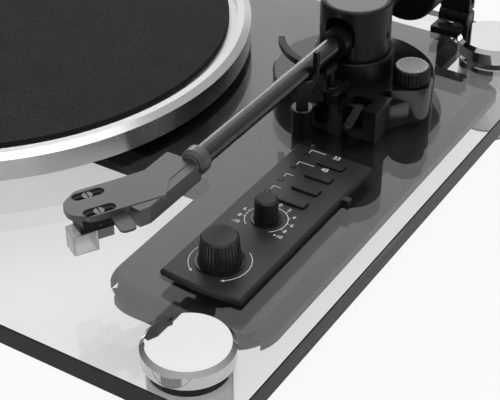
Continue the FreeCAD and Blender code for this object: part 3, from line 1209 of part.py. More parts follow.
cartridge = arm_body("cartridge_body")
cartridge_low = plate_bottom - S.cartridge_height
ear_low = plate_bottom - S.cartridge_ear
for name, low, height, half in (("body", cartridge_low, S.cartridge_height, S.cartridge_low_half),
                                ("ears", ear_low, S.cartridge_ear, S.cartridge_half)):
    pad(cartridge, head_box(sketch_on(cartridge, "XY_Plane", "cartridge_" + name + "_outline", lift=low),
                            -half, half, -S.cartridge_front, S.cartridge_rear), height, "cartridge_" + name)
pocket(cartridge, rings_at(sketch_on(cartridge, "XY_Plane", "cartridge_threads", lift=plate_bottom),
                           screw_spots,
                           S.head_screw_radius + S.seat_gap), "cartridge_screw_holes", grip + S.seat_gap)

holder = arm_body("stylus_holder")
pad(holder, head_box(sketch_on(holder, "XY_Plane", "holder_outline", lift=cartridge_low - S.stylus_drop),
                     -S.stylus_half, S.stylus_half, -S.guard_rear + S.seat_gap, S.cartridge_rear - 1),
    S.stylus_drop, "holder_block")

guard = arm_body("stylus_guard")
guard_low = cartridge_low - S.guard_height
guard_block = pad(guard, head_box(sketch_on(guard, "XY_Plane", "guard_outline", lift=guard_low),
                                  -S.guard_half,
                                  S.guard_half, -S.guard_front, -S.guard_rear), S.guard_height, "guard_block")
guard_block = round_edges(guard, guard_block, upright_edges, S.guard_round, "guard_corners")
round_edges(guard, guard_block, lambda f: level_edges(f, guard_low + S.guard_height), S.guard_round / 2,
            "guard_top")
pocket(guard, head_box(sketch_on(guard, "XY_Plane", "guard_inside", lift=guard_low),
                       -S.guard_half + S.guard_wall,
                       S.guard_half - S.guard_wall, -S.guard_front + S.guard_wall,
                       -S.guard_rear - S.guard_wall),
       "guard_hollow", S.guard_height - S.guard_wall, up=True)

dial = arm_body("force_dial")
dial_front = S.weight_start - S.moving_gap - S.dial_length
rod(dial, "dial_ring", dial_front, dial_front + S.dial_length, S.dial_radius, S.stub_radius + S.running_gap)

weight = arm_body("counterweight")
weight_end = S.weight_start + S.weight_length
weight_bar = rod(weight, "weight_bar", S.weight_start, weight_end, S.weight_radius,
                 S.stub_radius + S.running_gap)
bevel_edges(weight, weight_bar, lambda f: rim_edges(f, S.weight_radius), S.plinth_edge * 2, "weight_bevels")

# ---- arm rest and cueing lift ---------------------------------------------------------------
REST_X = ARM_X + S.rest_shift_x
REST_Y = ARM_Y - S.rest_reach
ring_top = S.rest_height + S.rest_ring_height

rest = new_body("rest_post", REST_X, REST_Y, GROUND_TO_DECK)
turned(rest, "rest_turned", [(0, 0), (S.rest_radius, 0), (S.rest_radius, S.rest_height), (0, S.rest_height)])

rest_ring = new_body("rest_ring", REST_X, REST_Y, GROUND_TO_DECK + S.rest_height)
ring_outer = S.rest_radius + S.plinth_edge
turned(rest_ring, "rest_ring_turned", [
    (0, 0), (ring_outer - S.plinth_edge, 0), (ring_outer, S.plinth_edge),
    (ring_outer, S.rest_ring_height - S.plinth_edge), (ring_outer - S.plinth_edge, S.rest_ring_height),
    (0, S.rest_ring_height)])

cradle = new_body("rest_cradle", REST_X, REST_Y, GROUND_TO_DECK + ring_top)
tube_x = -S.rest_shift_x
tube_z = S.pivot_height - ring_top
saddle = tube_z - S.tube_radius - S.moving_gap * 2
cradle_low = tube_z - S.tube_radius - S.cradle_height
hex_corners = [(S.rest_stem_radius * cos(60 * n), S.rest_stem_radius * sin(60 * n)) for n in range(6)]
pad(cradle, outline(sketch_on(cradle, "XY_Plane", "stem_outline"), hex_corners), saddle - S.fork_length / 2,
    "cradle_stem")
cradle_face = outline(sketch_on(cradle, "XZ_Plane", "cradle_outline", lift=-S.fork_length / 2), [
    (-S.rest_radius, cradle_low), (tube_x + S.cradle_right, cradle_low), (tube_x + S.cradle_right, saddle),
    (tube_x - S.tube_radius, saddle), (-S.rest_radius, cradle_low + S.fork_length / 2)])
pad(cradle, cradle_face, S.fork_length, "cradle_block")
clip_x = tube_x + S.cradle_right - S.clip_boss
clip_z = tube_z - S.clip_drop
pocket(cradle, ring(sketch_on(cradle, "XZ_Plane", "clip_bore", lift=S.fork_length / 2), clip_x, clip_z,
                    S.clip_pin_radius + S.running_gap), "cradle_clip_bore", S.fork_length / 2)

clip = new_body("arm_clip", REST_X, REST_Y, GROUND_TO_DECK + ring_top)
blade_left = tube_x + S.tube_radius + S.moving_gap
blade_right = blade_left + S.clip_width
clip_front = S.fork_length / 2 + S.moving_gap
pad(clip, ring(sketch_on(clip, "XZ_Plane", "clip_foot_outline", lift=clip_front), clip_x, clip_z,
               S.clip_boss),
    S.clip_thick, "clip_foot")
pad(clip, outline(sketch_on(clip, "XZ_Plane", "clip_blade_outline", lift=clip_front), [
    (clip_x - S.clip_boss * 0.8, clip_z + S.clip_boss * 0.6), (clip_x + S.clip_boss, clip_z),
    (blade_right, tube_z - S.tube_radius), (blade_right, tube_z + S.clip_rise),
    (blade_left, tube_z + S.clip_rise), (blade_left, tube_z - S.tube_radius)]), S.clip_thick, "clip_blade")
pad(clip, ring(sketch_on(clip, "XZ_Plane", "clip_pin_outline", lift=clip_front), clip_x, clip_z,
               S.clip_pin_radius), S.fork_length / 2, "clip_pin", down=True)

piston_reach = S.lift_travel + S.moving_gap
rail_top = S.pivot_height - S.tube_radius - S.moving_gap
rail_low = rail_top - S.rail_height
LIFT_X = ARM_X + lift_place[0]
LIFT_Y = ARM_Y + lift_place[1]
lift_base = new_body("lift_cylinder", LIFT_X, LIFT_Y, GROUND_TO_DECK + S.cue_floor)
cylinder_height = S.lift_top - S.cue_floor
piston_bore = S.piston_radius + S.running_gap
bore_floor = S.pod_bevel
turned(lift_base, "cylinder_turned", [
    (0, 0), (S.lift_radius, 0), (S.lift_radius, cylinder_height - S.plinth_edge),
    (S.lift_radius - S.plinth_edge, cylinder_height), (piston_bore, cylinder_height),
    (piston_bore, bore_floor), (0, bore_floor)])
hook = sketch_on(lift_base, "XY_Plane", "hook_outline", lift=cylinder_height - S.hook_thick - S.plinth_edge)
ring(hook, 0, 0, S.hook_radius)
ring(hook, 0, 0, S.lift_radius - S.plinth_edge)
pad(lift_base, hook, S.hook_thick, "hook_plate")
tail = sketch_on(lift_base, "XY_Plane", "hook_tail_outline",
                 lift=cylinder_height - S.hook_thick - S.plinth_edge)
box_outline(tail, S.lift_radius, S.hook_radius, 0, S.hook_tail)
pad(lift_base, tail, S.hook_thick, "hook_tail")

rail = new_body("lift_rail", ARM_X, ARM_Y, GROUND_TO_DECK + rail_low)
rail_middle = S.rail_inner + S.rail_width / 2
rail_start = -90 - S.rail_left_angle
rail_sweep = S.rail_left_angle + S.rail_right_angle
rail_profile = sketch_on(rail, "XZ_Plane", "rail_profile")
box_outline(rail_profile, S.rail_inner, S.rail_inner + S.rail_width, 0, S.rail_height)
rail_bar = rail.newObject("PartDesign::Revolution", "rail_bar")
rail_bar.Profile = rail_profile
rail_bar.ReferenceAxis = (rail_profile, ["V_Axis"])
bind(rail_bar, "Angle", rail_sweep)
rail.Placement.Rotation = Rotation(Vector(0, 0, 1), float(rail_start))
bind(rail, "Placement.Rotation.Angle", rail_start)
lift_turn = S.rail_left_angle + S.lift_angle
boss_place = (S.lift_reach * cos(lift_turn), S.lift_reach * sin(lift_turn))
rail_place = (rail_middle * cos(lift_turn), rail_middle * sin(lift_turn))
pad(rail, loop(sketch_on(rail, "XY_Plane", "rail_boss_outline"), boss_place, rail_place, S.piston_radius + 1,
               S.rail_width / 2), S.rail_height, "rail_boss")
piston_length = rail_low - S.cue_floor - bore_floor - piston_reach
pad(rail, ring(sketch_on(rail, "XY_Plane", "piston_outline"), *boss_place, S.piston_radius), piston_length,
    "lift_piston", down=True)

lever = new_body("cue_lever", ARM_X + S.cue_shift_x, ARM_Y - S.cue_reach, GROUND_TO_DECK + S.cue_height)
pin_half = S.cue_width - 1 - S.moving_gap
pad(lever, ring(sketch_on(lever, "YZ_Plane", "lever_pin_outline", lift=-pin_half), 0, 0, S.cue_pin_radius),
    pin_half * 2, "lever_pin")
reach_y, reach_z = -S.cue_lever_length * cos(20), -S.cue_lever_length * sin(20)
lever_side = sketch_on(lever, "YZ_Plane", "lever_outline", lift=-S.cue_arm_width / 2)
loop(lever_side, (0, 0), (reach_y, reach_z), S.cue_pin_radius * 1.6, S.cue_pin_radius * 0.7)
pad(lever, lever_side, S.cue_arm_width, "lever_arm")
tip = lever.newObject("PartDesign::AdditiveSphere", "lever_ball")
bind(tip, "Radius", S.cue_ball_radius)
tip_plane = next(p for p in lever.Origin.OriginFeatures if p.Role == "XY_Plane")
tip.AttachmentSupport = [(tip_plane, "")]
tip.MapMode = "FlatFace"
for axis, place in (("y", reach_y), ("z", reach_z)):
    bind(tip, "AttachmentOffset.Base." + axis, place)

# ---- dust cover hinges ----------------------------------------------------------------------
HINGE_Y = -FRONT - S.hinge_inset - S.hinge_knuckle
HINGE_Z = GROUND_TO_DECK + S.hinge_axis_height
hinge_middles = [RIGHT - S.hinge_from_right, S.hinge_from_right - RIGHT]
cheek = S.hinge_width / 4
foot_front = S.hinge_knuckle - S.hinge_depth

feet = new_body("hinge_bases", y=HINGE_Y, z=HINGE_Z)
foot_outline = sketch_on(feet, "XY_Plane", "hinge_foot_outline", lift=-S.hinge_axis_height)
for x in hinge_middles:
    outline(foot_outline, [
        (x - 2 * cheek, foot_front), (x + 2 * cheek, foot_front), (x + 2 * cheek, S.hinge_knuckle),
        (x + cheek, S.hinge_knuckle), (x + cheek, -S.hinge_knuckle - S.moving_gap),
        (x - cheek, -S.hinge_knuckle - S.moving_gap), (x - cheek, S.hinge_knuckle),
        (x - 2 * cheek, S.hinge_knuckle)])
pad(feet, foot_outline, S.hinge_foot, "hinge_feet")
for number, x in enumerate(hinge_middles):
    for side in (-1, 1):
        name = "cheek_%d_%s" % (number, "left" if side < 0 else "right")
        start = x + side * cheek if side > 0 else x - 2 * cheek
        web = sketch_on(feet, "YZ_Plane", name + "_web", lift=start)
        box_outline(web, -S.hinge_knuckle, S.hinge_knuckle, -S.hinge_axis_height, 0)
        pad(feet, web, cheek, name + "_block")
        pad(feet, ring(sketch_on(feet, "YZ_Plane", name + "_round", lift=start), 0, 0, S.hinge_knuckle),
            cheek,
            name + "_knuckle")
cut_both_ways(feet, ring(sketch_on(feet, "YZ_Plane", "hinge_bores"), 0, 0,
                         S.hinge_pin_radius + S.seat_gap), "hinge_pin_bores")
pocket(feet, rings_at(sketch_on(feet, "XY_Plane", "hinge_screw_bores", lift=0),
                      [(x, y - HINGE_Y) for x, y in hinge_screw_places()],
                      S.cover_screw_radius + S.seat_gap), "hinge_screw_holes")

pins = new_body("hinge_pins", y=HINGE_Y, z=HINGE_Z)
for number, x in enumerate(hinge_middles):
    name = "hinge_pin_%d" % number
    pad(pins, ring(sketch_on(pins, "YZ_Plane", name + "_outline", lift=x - 2 * cheek), 0, 0,
                   S.hinge_pin_radius),
        S.hinge_width, name)

hinge_lift = GROUND_TO_DECK - CHASSIS_BOTTOM
pad(screws, rings_at(sketch_on(screws, "XY_Plane", "hinge_shanks",
                               lift=hinge_lift + S.plinth_edge - S.plinth_thick),
                     hinge_screw_places(), S.cover_screw_radius),
    S.plinth_thick - S.plinth_edge + S.hinge_foot, "hinge_screw_shanks")
pad(screws, rings_at(sketch_on(screws, "XY_Plane", "hinge_heads", lift=hinge_lift + S.hinge_foot),
                     hinge_screw_places(), S.cover_screw_head), S.cover_screw_rise, "hinge_screw_heads")


def add_leaf(label, x):
    """The turning half of a hinge, with a slotted pocket for a dust cover."""
    leaf = new_body(label, x, HINGE_Y, HINGE_Z)
    half = cheek - S.moving_gap
    pad(leaf, ring(sketch_on(leaf, "YZ_Plane", label + "_knuckle_outline", lift=-half), 0, 0,
                   S.hinge_knuckle), half * 2, label + "_knuckle")
    thick = S.hinge_leaf_thick / 2
    low = S.hinge_knuckle + S.moving_gap
    web = box_outline(sketch_on(leaf, "YZ_Plane", label + "_web", lift=-half), -thick, thick, 0, low)
    pad(leaf, web, half * 2, label + "_neck")
    high = S.hinge_leaf_height - S.hinge_axis_height
    plate_face = box_outline(sketch_on(leaf, "YZ_Plane", label + "_plate", lift=-S.hinge_width / 2),
                             -thick, thick, low, high)
    pad(leaf, plate_face, S.hinge_width, label + "_pocket")
    groove = box_outline(sketch_on(leaf, "YZ_Plane", label + "_slot", lift=-S.hinge_width / 2),
                         -S.hinge_slot / 2, S.hinge_slot / 2, low + thick, high)
    pocket(leaf, groove, label + "_cover_slot", S.hinge_width, up=True)
    cut_both_ways(leaf, ring(sketch_on(leaf, "YZ_Plane", label + "_bore"), 0, 0,
                             S.hinge_pin_radius + S.running_gap), label + "_pin_bore")


add_leaf("hinge_leaf_right", hinge_middles[0])
add_leaf("hinge_leaf_left", hinge_middles[1])

# ---- rear sockets ---------------------------------------------------------------------------
places = socket_places()


def socket_body(label):
    return new_body(label, y=TUB_REAR, z=SOCKET_Z)


def barrel(body, name, spots, start, end, radius, bore=None):
    """Round pieces along Y between two distances behind the tub's rear wall."""
    sketch = sketch_on(body, "XZ_Plane", name + "_outline", lift=-as_size(start))
    for x in spots:
        ring(sketch, x, 0, radius)
        if bore is not None:
            ring(sketch, x, 0, bore)
    return pad(body, sketch, as_size(end) - start, name, down=True)


phono = socket_body("phono_sockets")
barrel(phono, "phono_barrels", places[:2], -S.chassis_wall, S.socket_length, S.socket_radius, S.socket_bore)
barrel(phono, "phono_flanges", places[:2], 0, S.plinth_edge * 2, S.socket_radius * 1.4, S.socket_bore)
inlet = socket_body("power_inlet")
barrel(inlet, "inlet_barrel", places[3:], -S.inlet_depth, S.plinth_edge * 2, S.inlet_radius, S.inlet_bore)
barrel(inlet, "inlet_back", places[3:], -S.inlet_depth - S.plinth_edge * 2, -S.inlet_depth, S.inlet_radius)
barrel(inlet, "inlet_pin", places[3:], -S.inlet_depth, 0, S.inlet_pin)
earth = socket_body("ground_terminal")
barrel(earth, "ground_screw", places[2:3], -S.chassis_wall, S.ground_length, S.cover_screw_radius)
barrel(earth, "ground_knob", places[2:3], S.plinth_edge * 2, S.ground_length, S.ground_radius)

# ---- check and write ------------------------------------------------------------------------
doc.recompute()
problems = []
for thing in doc.Objects:
    if "Invalid" in thing.State or "Error" in thing.State:
        problems.append(thing.Name + " " + " ".join(thing.State))
for node in nodes:
    if node.Shape.isNull() or not node.Shape.isValid() or not node.Shape.Solids:
        problems.append(node.Label + " has no sound shape")
if problems:
    raise RuntimeError("; ".join(problems))
os.makedirs("parts", exist_ok=True)
for node in nodes:
    node.Shape.exportStep("parts/%s.step" % node.Label)
print(len(nodes), "pieces written")
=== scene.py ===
"""Looks of the clear-plinth record player: materials, printed marks, small trim, stage and lights."""
import json
import math
import bpy
from mathutils import Matrix, Vector


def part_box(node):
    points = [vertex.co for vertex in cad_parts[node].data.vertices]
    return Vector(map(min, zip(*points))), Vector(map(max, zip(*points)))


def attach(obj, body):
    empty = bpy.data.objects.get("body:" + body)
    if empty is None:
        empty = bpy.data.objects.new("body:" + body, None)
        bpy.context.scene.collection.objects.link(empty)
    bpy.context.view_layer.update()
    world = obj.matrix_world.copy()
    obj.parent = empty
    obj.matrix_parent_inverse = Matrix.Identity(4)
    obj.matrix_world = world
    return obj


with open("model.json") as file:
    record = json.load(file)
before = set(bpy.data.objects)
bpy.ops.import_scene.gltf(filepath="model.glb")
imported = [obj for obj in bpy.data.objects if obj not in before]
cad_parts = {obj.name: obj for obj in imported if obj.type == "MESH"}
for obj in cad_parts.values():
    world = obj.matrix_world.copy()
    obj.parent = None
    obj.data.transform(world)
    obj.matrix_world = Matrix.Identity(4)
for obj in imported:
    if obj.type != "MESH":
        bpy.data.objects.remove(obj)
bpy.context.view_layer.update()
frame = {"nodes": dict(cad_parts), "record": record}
nodes = frame["nodes"]
MM = 0.001


# ---- shader helpers -------------------------------------------------------------------------
def new_material(name):
    """An empty material with one Principled shader wired to its output."""
    mat = bpy.data.materials.new(name)
    mat.use_nodes = True
    tree = mat.node_tree
    tree.nodes.clear()
    out = tree.nodes.new("ShaderNodeOutputMaterial")
    shader = tree.nodes.new("ShaderNodeBsdfPrincipled")
    tree.links.new(shader.outputs["BSDF"], out.inputs["Surface"])
    return mat, tree, shader, out


def coords(tree, shift=(0, 0, 0)):
    """Object coordinates in metres, moved by shift."""
    place = tree.nodes.new("ShaderNodeTexCoord")
    mapping = tree.nodes.new("ShaderNodeMapping")
    mapping.inputs["Location"].default_value = shift
    tree.links.new(place.outputs["Object"], mapping.inputs["Vector"])
    return mapping.outputs["Vector"]


def noise(tree, vector, scale, detail=3.0, rough=0.5):
    """Cloudy noise, between 0 and 1."""
    node = tree.nodes.new("ShaderNodeTexNoise")
    node.inputs["Scale"].default_value = scale
    node.inputs["Detail"].default_value = detail
    node.inputs["Roughness"].default_value = rough
    tree.links.new(vector, node.inputs["Vector"])
    return node.outputs["Fac"]


def spread(tree, value, low, high, start=0.3, end=0.7):
    """A number that runs from low to high while value runs from start to end."""
    node = tree.nodes.new("ShaderNodeMapRange")
    for key, number in (("From Min", start), ("From Max", end), ("To Min", low), ("To Max", high)):
        node.inputs[key].default_value = number
    tree.links.new(value, node.inputs["Value"])
    return node.outputs["Result"]


def bump(tree, shader, value, strength, distance):
    """Fine relief on a shader, at most distance deep."""
    node = tree.nodes.new("ShaderNodeBump")
    node.inputs["Strength"].default_value = strength
    node.inputs["Distance"].default_value = distance
    tree.links.new(value, node.inputs["Height"])
    tree.links.new(node.outputs["Normal"], shader.inputs["Normal"])


def shade(tree, value, dark, light, start=0.3, end=0.7):
    """A colour that runs from dark to light while value runs from start to end."""
    node = tree.nodes.new("ShaderNodeValToRGB")
    ramp = node.color_ramp
    ramp.elements[0].position, ramp.elements[1].position = start, end
    ramp.elements[0].color, ramp.elements[1].color = (*dark, 1), (*light, 1)
    tree.links.new(value, node.inputs["Fac"])
    return node.outputs["Color"]


def surface(name, colour, rough, metal=0.0, tone=0.12, grain=900, bump_by=0.05, depth=0.05 * MM, spec=0.5,
            drift=0.05):
    """A solid finish: a base colour that drifts a little, uneven roughness and a fine grain."""
    mat, tree, shader, _ = new_material(name)
    vector = coords(tree)
    broad = noise(tree, vector, 35, 4)
    fine = noise(tree, vector, grain, 2)
    dark = [c * (1 - tone) for c in colour]
    light = [min(1, c * (1 + tone)) for c in colour]
    tree.links.new(shade(tree, broad, dark, light), shader.inputs["Base Color"])
    tree.links.new(spread(tree, broad, max(0.0, rough - drift), rough + drift), shader.inputs["Roughness"])
    shader.inputs["Metallic"].default_value = metal
    shader.inputs["Specular IOR Level"].default_value = spec
    bump(tree, shader, fine, bump_by, depth)
    return mat


def turned_metal(name, colour, rough, middle, anisotropy):
    """Metal cut on a lathe: fine rings round the middle, and a highlight that spreads across them."""
    mat, tree, shader, _ = new_material(name)
    vector = coords(tree, shift=[-c for c in middle])
    rings = tree.nodes.new("ShaderNodeTexWave")
    rings.wave_type = "RINGS"
    rings.rings_direction = "Z"
    rings.inputs["Scale"].default_value = 520
    rings.inputs["Distortion"].default_value = 0.6
    rings.inputs["Detail"].default_value = 1.0
    tree.links.new(vector, rings.inputs["Vector"])
    worn = noise(tree, vector, 18, 5, 0.6)
    tree.links.new(shade(tree, worn, [c * 0.9 for c in colour], colour), shader.inputs["Base Color"])
    tree.links.new(spread(tree, worn, rough * 0.8, rough * 1.25), shader.inputs["Roughness"])
    shader.inputs["Metallic"].default_value = 1.0
    shader.inputs["Anisotropic"].default_value = anisotropy
    shader.inputs["Anisotropic Rotation"].default_value = 0.25
    round_it = tree.nodes.new("ShaderNodeTangent")
    round_it.direction_type = "RADIAL"
    round_it.axis = "Z"
    tree.links.new(round_it.outputs["Tangent"], shader.inputs["Tangent"])
    bump(tree, shader, rings.outputs["Fac"], 0.06, 0.02 * MM)
    return mat


def clear(name, tint, absorb, density, lamp_light=0.92):
    """Acrylic: refracts and mirrors for the eye, dims with depth, and lets the lamps' light through."""
    mat, tree, shader, out = new_material(name)
    vector = coords(tree)
    smears = noise(tree, vector, 14, 5)
    shader.inputs["Base Color"].default_value = (*tint, 1)
    shader.inputs["Transmission Weight"].default_value = 1.0
    shader.inputs["IOR"].default_value = 1.49
    tree.links.new(spread(tree, smears, 0.0, 0.006, 0.5, 0.8), shader.inputs["Roughness"])
    through = tree.nodes.new("ShaderNodeBsdfTransparent")
    through.inputs["Color"].default_value = (lamp_light, lamp_light, lamp_light, 1)
    path = tree.nodes.new("ShaderNodeLightPath")
    mix = tree.nodes.new("ShaderNodeMixShader")
    tree.links.new(path.outputs["Is Shadow Ray"], mix.inputs["Fac"])
    tree.links.new(shader.outputs["BSDF"], mix.inputs[1])
    tree.links.new(through.outputs["BSDF"], mix.inputs[2])
    tree.links.new(mix.outputs["Shader"], out.inputs["Surface"])
    depth = tree.nodes.new("ShaderNodeVolumeAbsorption")
    depth.inputs["Color"].default_value = (*absorb, 1)
    depth.inputs["Density"].default_value = density
    tree.links.new(depth.outputs["Volume"], out.inputs["Volume"])
    return mat


def milky(name, colour, rough, passing):
    """Cloudy moulded plastic that lets part of the light through."""
    mat, tree, shader, _ = new_material(name)
    cloud = noise(tree, coords(tree), 180, 4)
    tree.links.new(shade(tree, cloud, [c * 0.94 for c in colour], colour), shader.inputs["Base Color"])
    tree.links.new(spread(tree, cloud, rough - 0.08, rough + 0.08), shader.inputs["Roughness"])
    shader.inputs["Transmission Weight"].default_value = passing
    shader.inputs["IOR"].default_value = 1.45
    bump(tree, shader, cloud, 0.1, 0.1 * MM)
    return mat


def felt(name):
    """Wool felt: a mottled dark nap with loose fibres."""
    mat, tree, shader, _ = new_material(name)
    vector = coords(tree)
    wool = noise(tree, vector, 1150, 5, 0.7)
    patches = noise(tree, vector, 45, 4)
    tree.links.new(shade(tree, wool, (0.012, 0.012, 0.0125), (0.044, 0.044, 0.046), 0.32, 0.7),
                   shader.inputs["Base Color"])
    tree.links.new(spread(tree, patches, 0.9, 1.0), shader.inputs["Roughness"])
    shader.inputs["Specular IOR Level"].default_value = 0.15
    bump(tree, shader, wool, 0.6, 0.4 * MM)
    return mat


# ---- materials ------------------------------------------------------------------------------
def middle_of(node):
    """The middle of a CAD piece's box."""
    low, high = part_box(node)
    return (Vector(low) + Vector(high)) / 2


spindle_middle = middle_of("spindle")
MATERIALS = {
    "clear_acrylic": clear("acrylic", (0.99, 0.99, 0.99), (0.02, 0.05, 0.05), 6.5),
    "black_plastic": surface("black_plastic", (0.009, 0.009, 0.0095), 0.34, bump_by=0.12, spec=0.3),
    "chrome": surface("chrome", (0.62, 0.625, 0.63), 0.04, metal=1.0, tone=0.02, bump_by=0.01, drift=0.02),
    "rubber": surface("rubber", (0.02, 0.02, 0.02), 0.75, bump_by=0.3, drift=0.1),
    "platter_metal": turned_metal("platter_metal", (0.6, 0.605, 0.61), 0.24, spindle_middle, 0.85),
    "steel": surface("steel", (0.2, 0.2, 0.205), 0.42, metal=1.0, tone=0.08),
    "brass": surface("brass", (0.7, 0.5, 0.22), 0.25, metal=1.0, tone=0.08),
    "black_metal": surface("black_metal", (0.007, 0.007, 0.0073), 0.3, bump_by=0.1, grain=1400, spec=0.28),
    "satin_black": surface("satin_black", (0.065, 0.065, 0.066), 0.36, bump_by=0.14, grain=1400, spec=1.0),
    "tube_black": surface("tube_black", (0.005, 0.005, 0.0052), 0.27, bump_by=0.03, spec=1.0),
    "panel_black": surface("panel_black", (0.02, 0.02, 0.0205), 0.36, bump_by=0.15, grain=1800, spec=0.5),
    "knob_black": surface("knob_black", (0.014, 0.014, 0.014), 0.36, bump_by=0.1, spec=0.6),
    "gloss_black": surface("gloss_black", (0.006, 0.006, 0.0065), 0.18, bump_by=0.03, spec=0.9),
    "grey_cap": surface("grey_cap", (0.2, 0.2, 0.203), 0.42, tone=0.05, spec=0.4),
    "white_plastic": milky("white_plastic", (0.98, 0.98, 0.975), 0.2, 0.65),
    "grey_plastic": surface("grey_plastic", (0.3, 0.31, 0.32), 0.4),
    "red_lens": surface("red_lens", (0.045, 0.003, 0.006), 0.22, bump_by=0.35, depth=0.2 * MM, grain=500,
                        tone=0.6),
    "board_green": surface("board_green", (0.02, 0.12, 0.05), 0.4),
    "weight_metal": surface("weight_metal", (0.01, 0.01, 0.0105), 0.32, bump_by=0.1, spec=0.35),
    "felt": felt("felt"),
}
slots = {part["node"]: part["material_slot"] for part in frame["record"]["subparts"]}
# Pieces whose finish here differs from their slot's. The steel arm_post and pivot_screws get black metal
# instead: painted shade, darkening them where the tower shades them.
finish_and_painted_shade_of = {**slots, "headshell_screws": "steel", "arm_post": "black_metal", "pivot_screws": "black_metal",
             "headshell": "satin_black", "finger_lift": "satin_black", "arm_tube": "tube_black"}
for name, obj in nodes.items():
    for place in obj.material_slots:
        place.material = MATERIALS[finish_and_painted_shade_of[name]]

# A hair of air between the acrylic and what it touches, so that no two faces lie in one plane.
HAIR = 0.03 * MM
hair = nodes["acrylic_plinth"].modifiers.new("hair_of_air", "DISPLACE")
hair.strength = -HAIR
hair.mid_level = 0

white_ink = surface("white_ink", (0.72, 0.72, 0.72), 0.55, tone=0.06, bump_by=0.1)
pale_face = surface("pale_face", (0.28, 0.28, 0.285), 0.3, metal=0.4, tone=0.05, bump_by=0.05)


# ---- pieces made here -----------------------------------------------------------------------
INK = 0.04 * MM                                          # printed marks stand this far off a face


def add_piece(name, data, body, place=(0, 0, 0)):
    """A new piece of the object, riding on a body."""
    obj = bpy.data.objects.new(name, data)
    bpy.context.scene.collection.objects.link(obj)
    obj.location = place
    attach(obj, body)


def mesh_piece(name, points, faces, material, slot, body):
    """A new piece from its corner points and faces."""
    mesh = bpy.data.meshes.new(name)
    mesh.from_pydata([Vector(p) for p in points], [], faces)
    mesh.materials.append(material)
    add_piece(name, mesh, body)


def stroke(points, width, height):
    """Corner points and faces of a printed line along points, on a level face at height."""
    sides = []
    for i, point in enumerate(points):
        before = Vector(points[max(i - 1, 0)])
        after = Vector(points[min(i + 1, len(points) - 1)])
        here = Vector(point)
        legs = [leg.normalized() for leg in (here - before, after - here) if leg.length > 0]
        along = sum(legs, Vector((0, 0))).normalized()
        miter = 1 / max(0.5, along.dot(legs[0]))
        across = Vector((-along.y, along.x)) * width / 2 * miter
        sides += [(*(here + across), height), (*(here - across), height)]
    faces = [(2 * i, 2 * i + 1, 2 * i + 3, 2 * i + 2) for i in range(len(points) - 1)]
    return sides, faces


def gather(shapes):
    """Several shapes joined into one list of points and one of faces."""
    points, faces = [], []
    for shape_points, shape_faces in shapes:
        faces += [tuple(i + len(points) for i in face) for face in shape_faces]
        points += shape_points
    return points, faces


def on_dial(centre, radius, clock):
    """A place round a knob, at an angle clockwise from the rear."""
    turn = math.radians(clock)
    return Vector((centre.x + radius * math.sin(turn), centre.y + radius * math.cos(turn)))


def dial_arc(centre, radius, start, end, step=4):
    """Points along an arc round a knob, about every step degrees."""
    count = max(2, round(abs(end - start) / step))
    return [on_dial(centre, radius, start + (end - start) * i / count) for i in range(count + 1)]


def arrow_head(centre, radius, clock, forward, size, height):
    """A small triangle at an arc's end; forward is 1 for clockwise."""
    tip = on_dial(centre, radius, clock + forward * math.degrees(size / radius))
    points = [tip, on_dial(centre, radius + size / 2, clock), on_dial(centre, radius - size / 2, clock)]
    return [(*p, height) for p in points], [(0, 1, 2)]


def numeral(name, text, place, size, height, body):
    """A printed number, centred on place."""
    curve = bpy.data.curves.new("number_" + name, "FONT")
    curve.body = text
    curve.size = size
    curve.align_x = "CENTER"
    curve.align_y = "CENTER"
    curve.offset = size * 0.02
    curve.materials.append(white_ink)
    add_piece("number_" + name, curve, body, (place[0], place[1], height))


# ---- the control panel's printing -----------------------------------------------------------
LINE = 0.38 * MM                                         # width of a printed line
BRACKET_FOOT = 0.5 * MM                                  # from a button's rear edge
BRACKET_RISE = 2.9 * MM
BRACKET_REACH = {"button_33": 8.1 * MM, "button_45": 8.1 * MM, "button_pair": 3.6 * MM,
                 "button_start": 3.9 * MM}
SPEED_NUMBER = 3.9 * MM                                  # height of the 33 and the 45
SPEED_NUMBER_SHIFT = (14.2 * MM, 3.3 * MM)               # from the lamp, and from the button's rear edge
PITCH_RING = 10.1 * MM
PITCH_ENDS = (-145, 142)                                 # angles here run clockwise from the rear
PITCH_TICKS = (-108, -80, -58, -30, 0, 30, 58, 80, 108)
TICK = 1.1 * MM
PITCH_NUMBERS = {0: "0", 26: "2", 54: "4", 83: "6", 108: "8", 128: "+10",
                 -26: "2", -54: "4", -82: "6", -106: "8", -126: "-10"}
NUMBER = 3.1 * MM
NUMBER_RING = 12.8 * MM
END_NUMBER_RING = 14.2 * MM                              # the wider +10 and -10 stand further out
VOLUME_RING = 14.2 * MM
VOLUME_ARROWS = ((-77, -145), (34, 140))
ARROW = 1.7 * MM

panel_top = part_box("control_panel")[1][2] + INK
led_x = (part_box("panel_leds")[0][0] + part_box("panel_leds")[1][0]) / 2
pitch = middle_of("pitch_knob")
volume = middle_of("volume_knob")


def panel_marks():
    """Every printed line on the panel, as points and faces."""
    shapes = []
    for button, reach in BRACKET_REACH.items():
        foot_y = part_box(button)[1][1] + BRACKET_FOOT
        corner_y = foot_y + BRACKET_RISE
        bracket = [(led_x, foot_y), (led_x, corner_y), (led_x + reach, corner_y)]
        shapes.append(stroke(bracket, LINE, panel_top))
    shapes.append(stroke(dial_arc(pitch, PITCH_RING, *PITCH_ENDS), LINE, panel_top))
    for clock in PITCH_TICKS:
        tick = [on_dial(pitch, radius, clock) for radius in (PITCH_RING, PITCH_RING + TICK)]
        shapes.append(stroke(tick, LINE, panel_top))
    for start, end in VOLUME_ARROWS:
        forward = 1 if end > start else -1
        shapes.append(stroke(dial_arc(volume, VOLUME_RING, start, end), LINE, panel_top))
        shapes.append(arrow_head(volume, VOLUME_RING, end, forward, ARROW, panel_top))
    return gather(shapes)


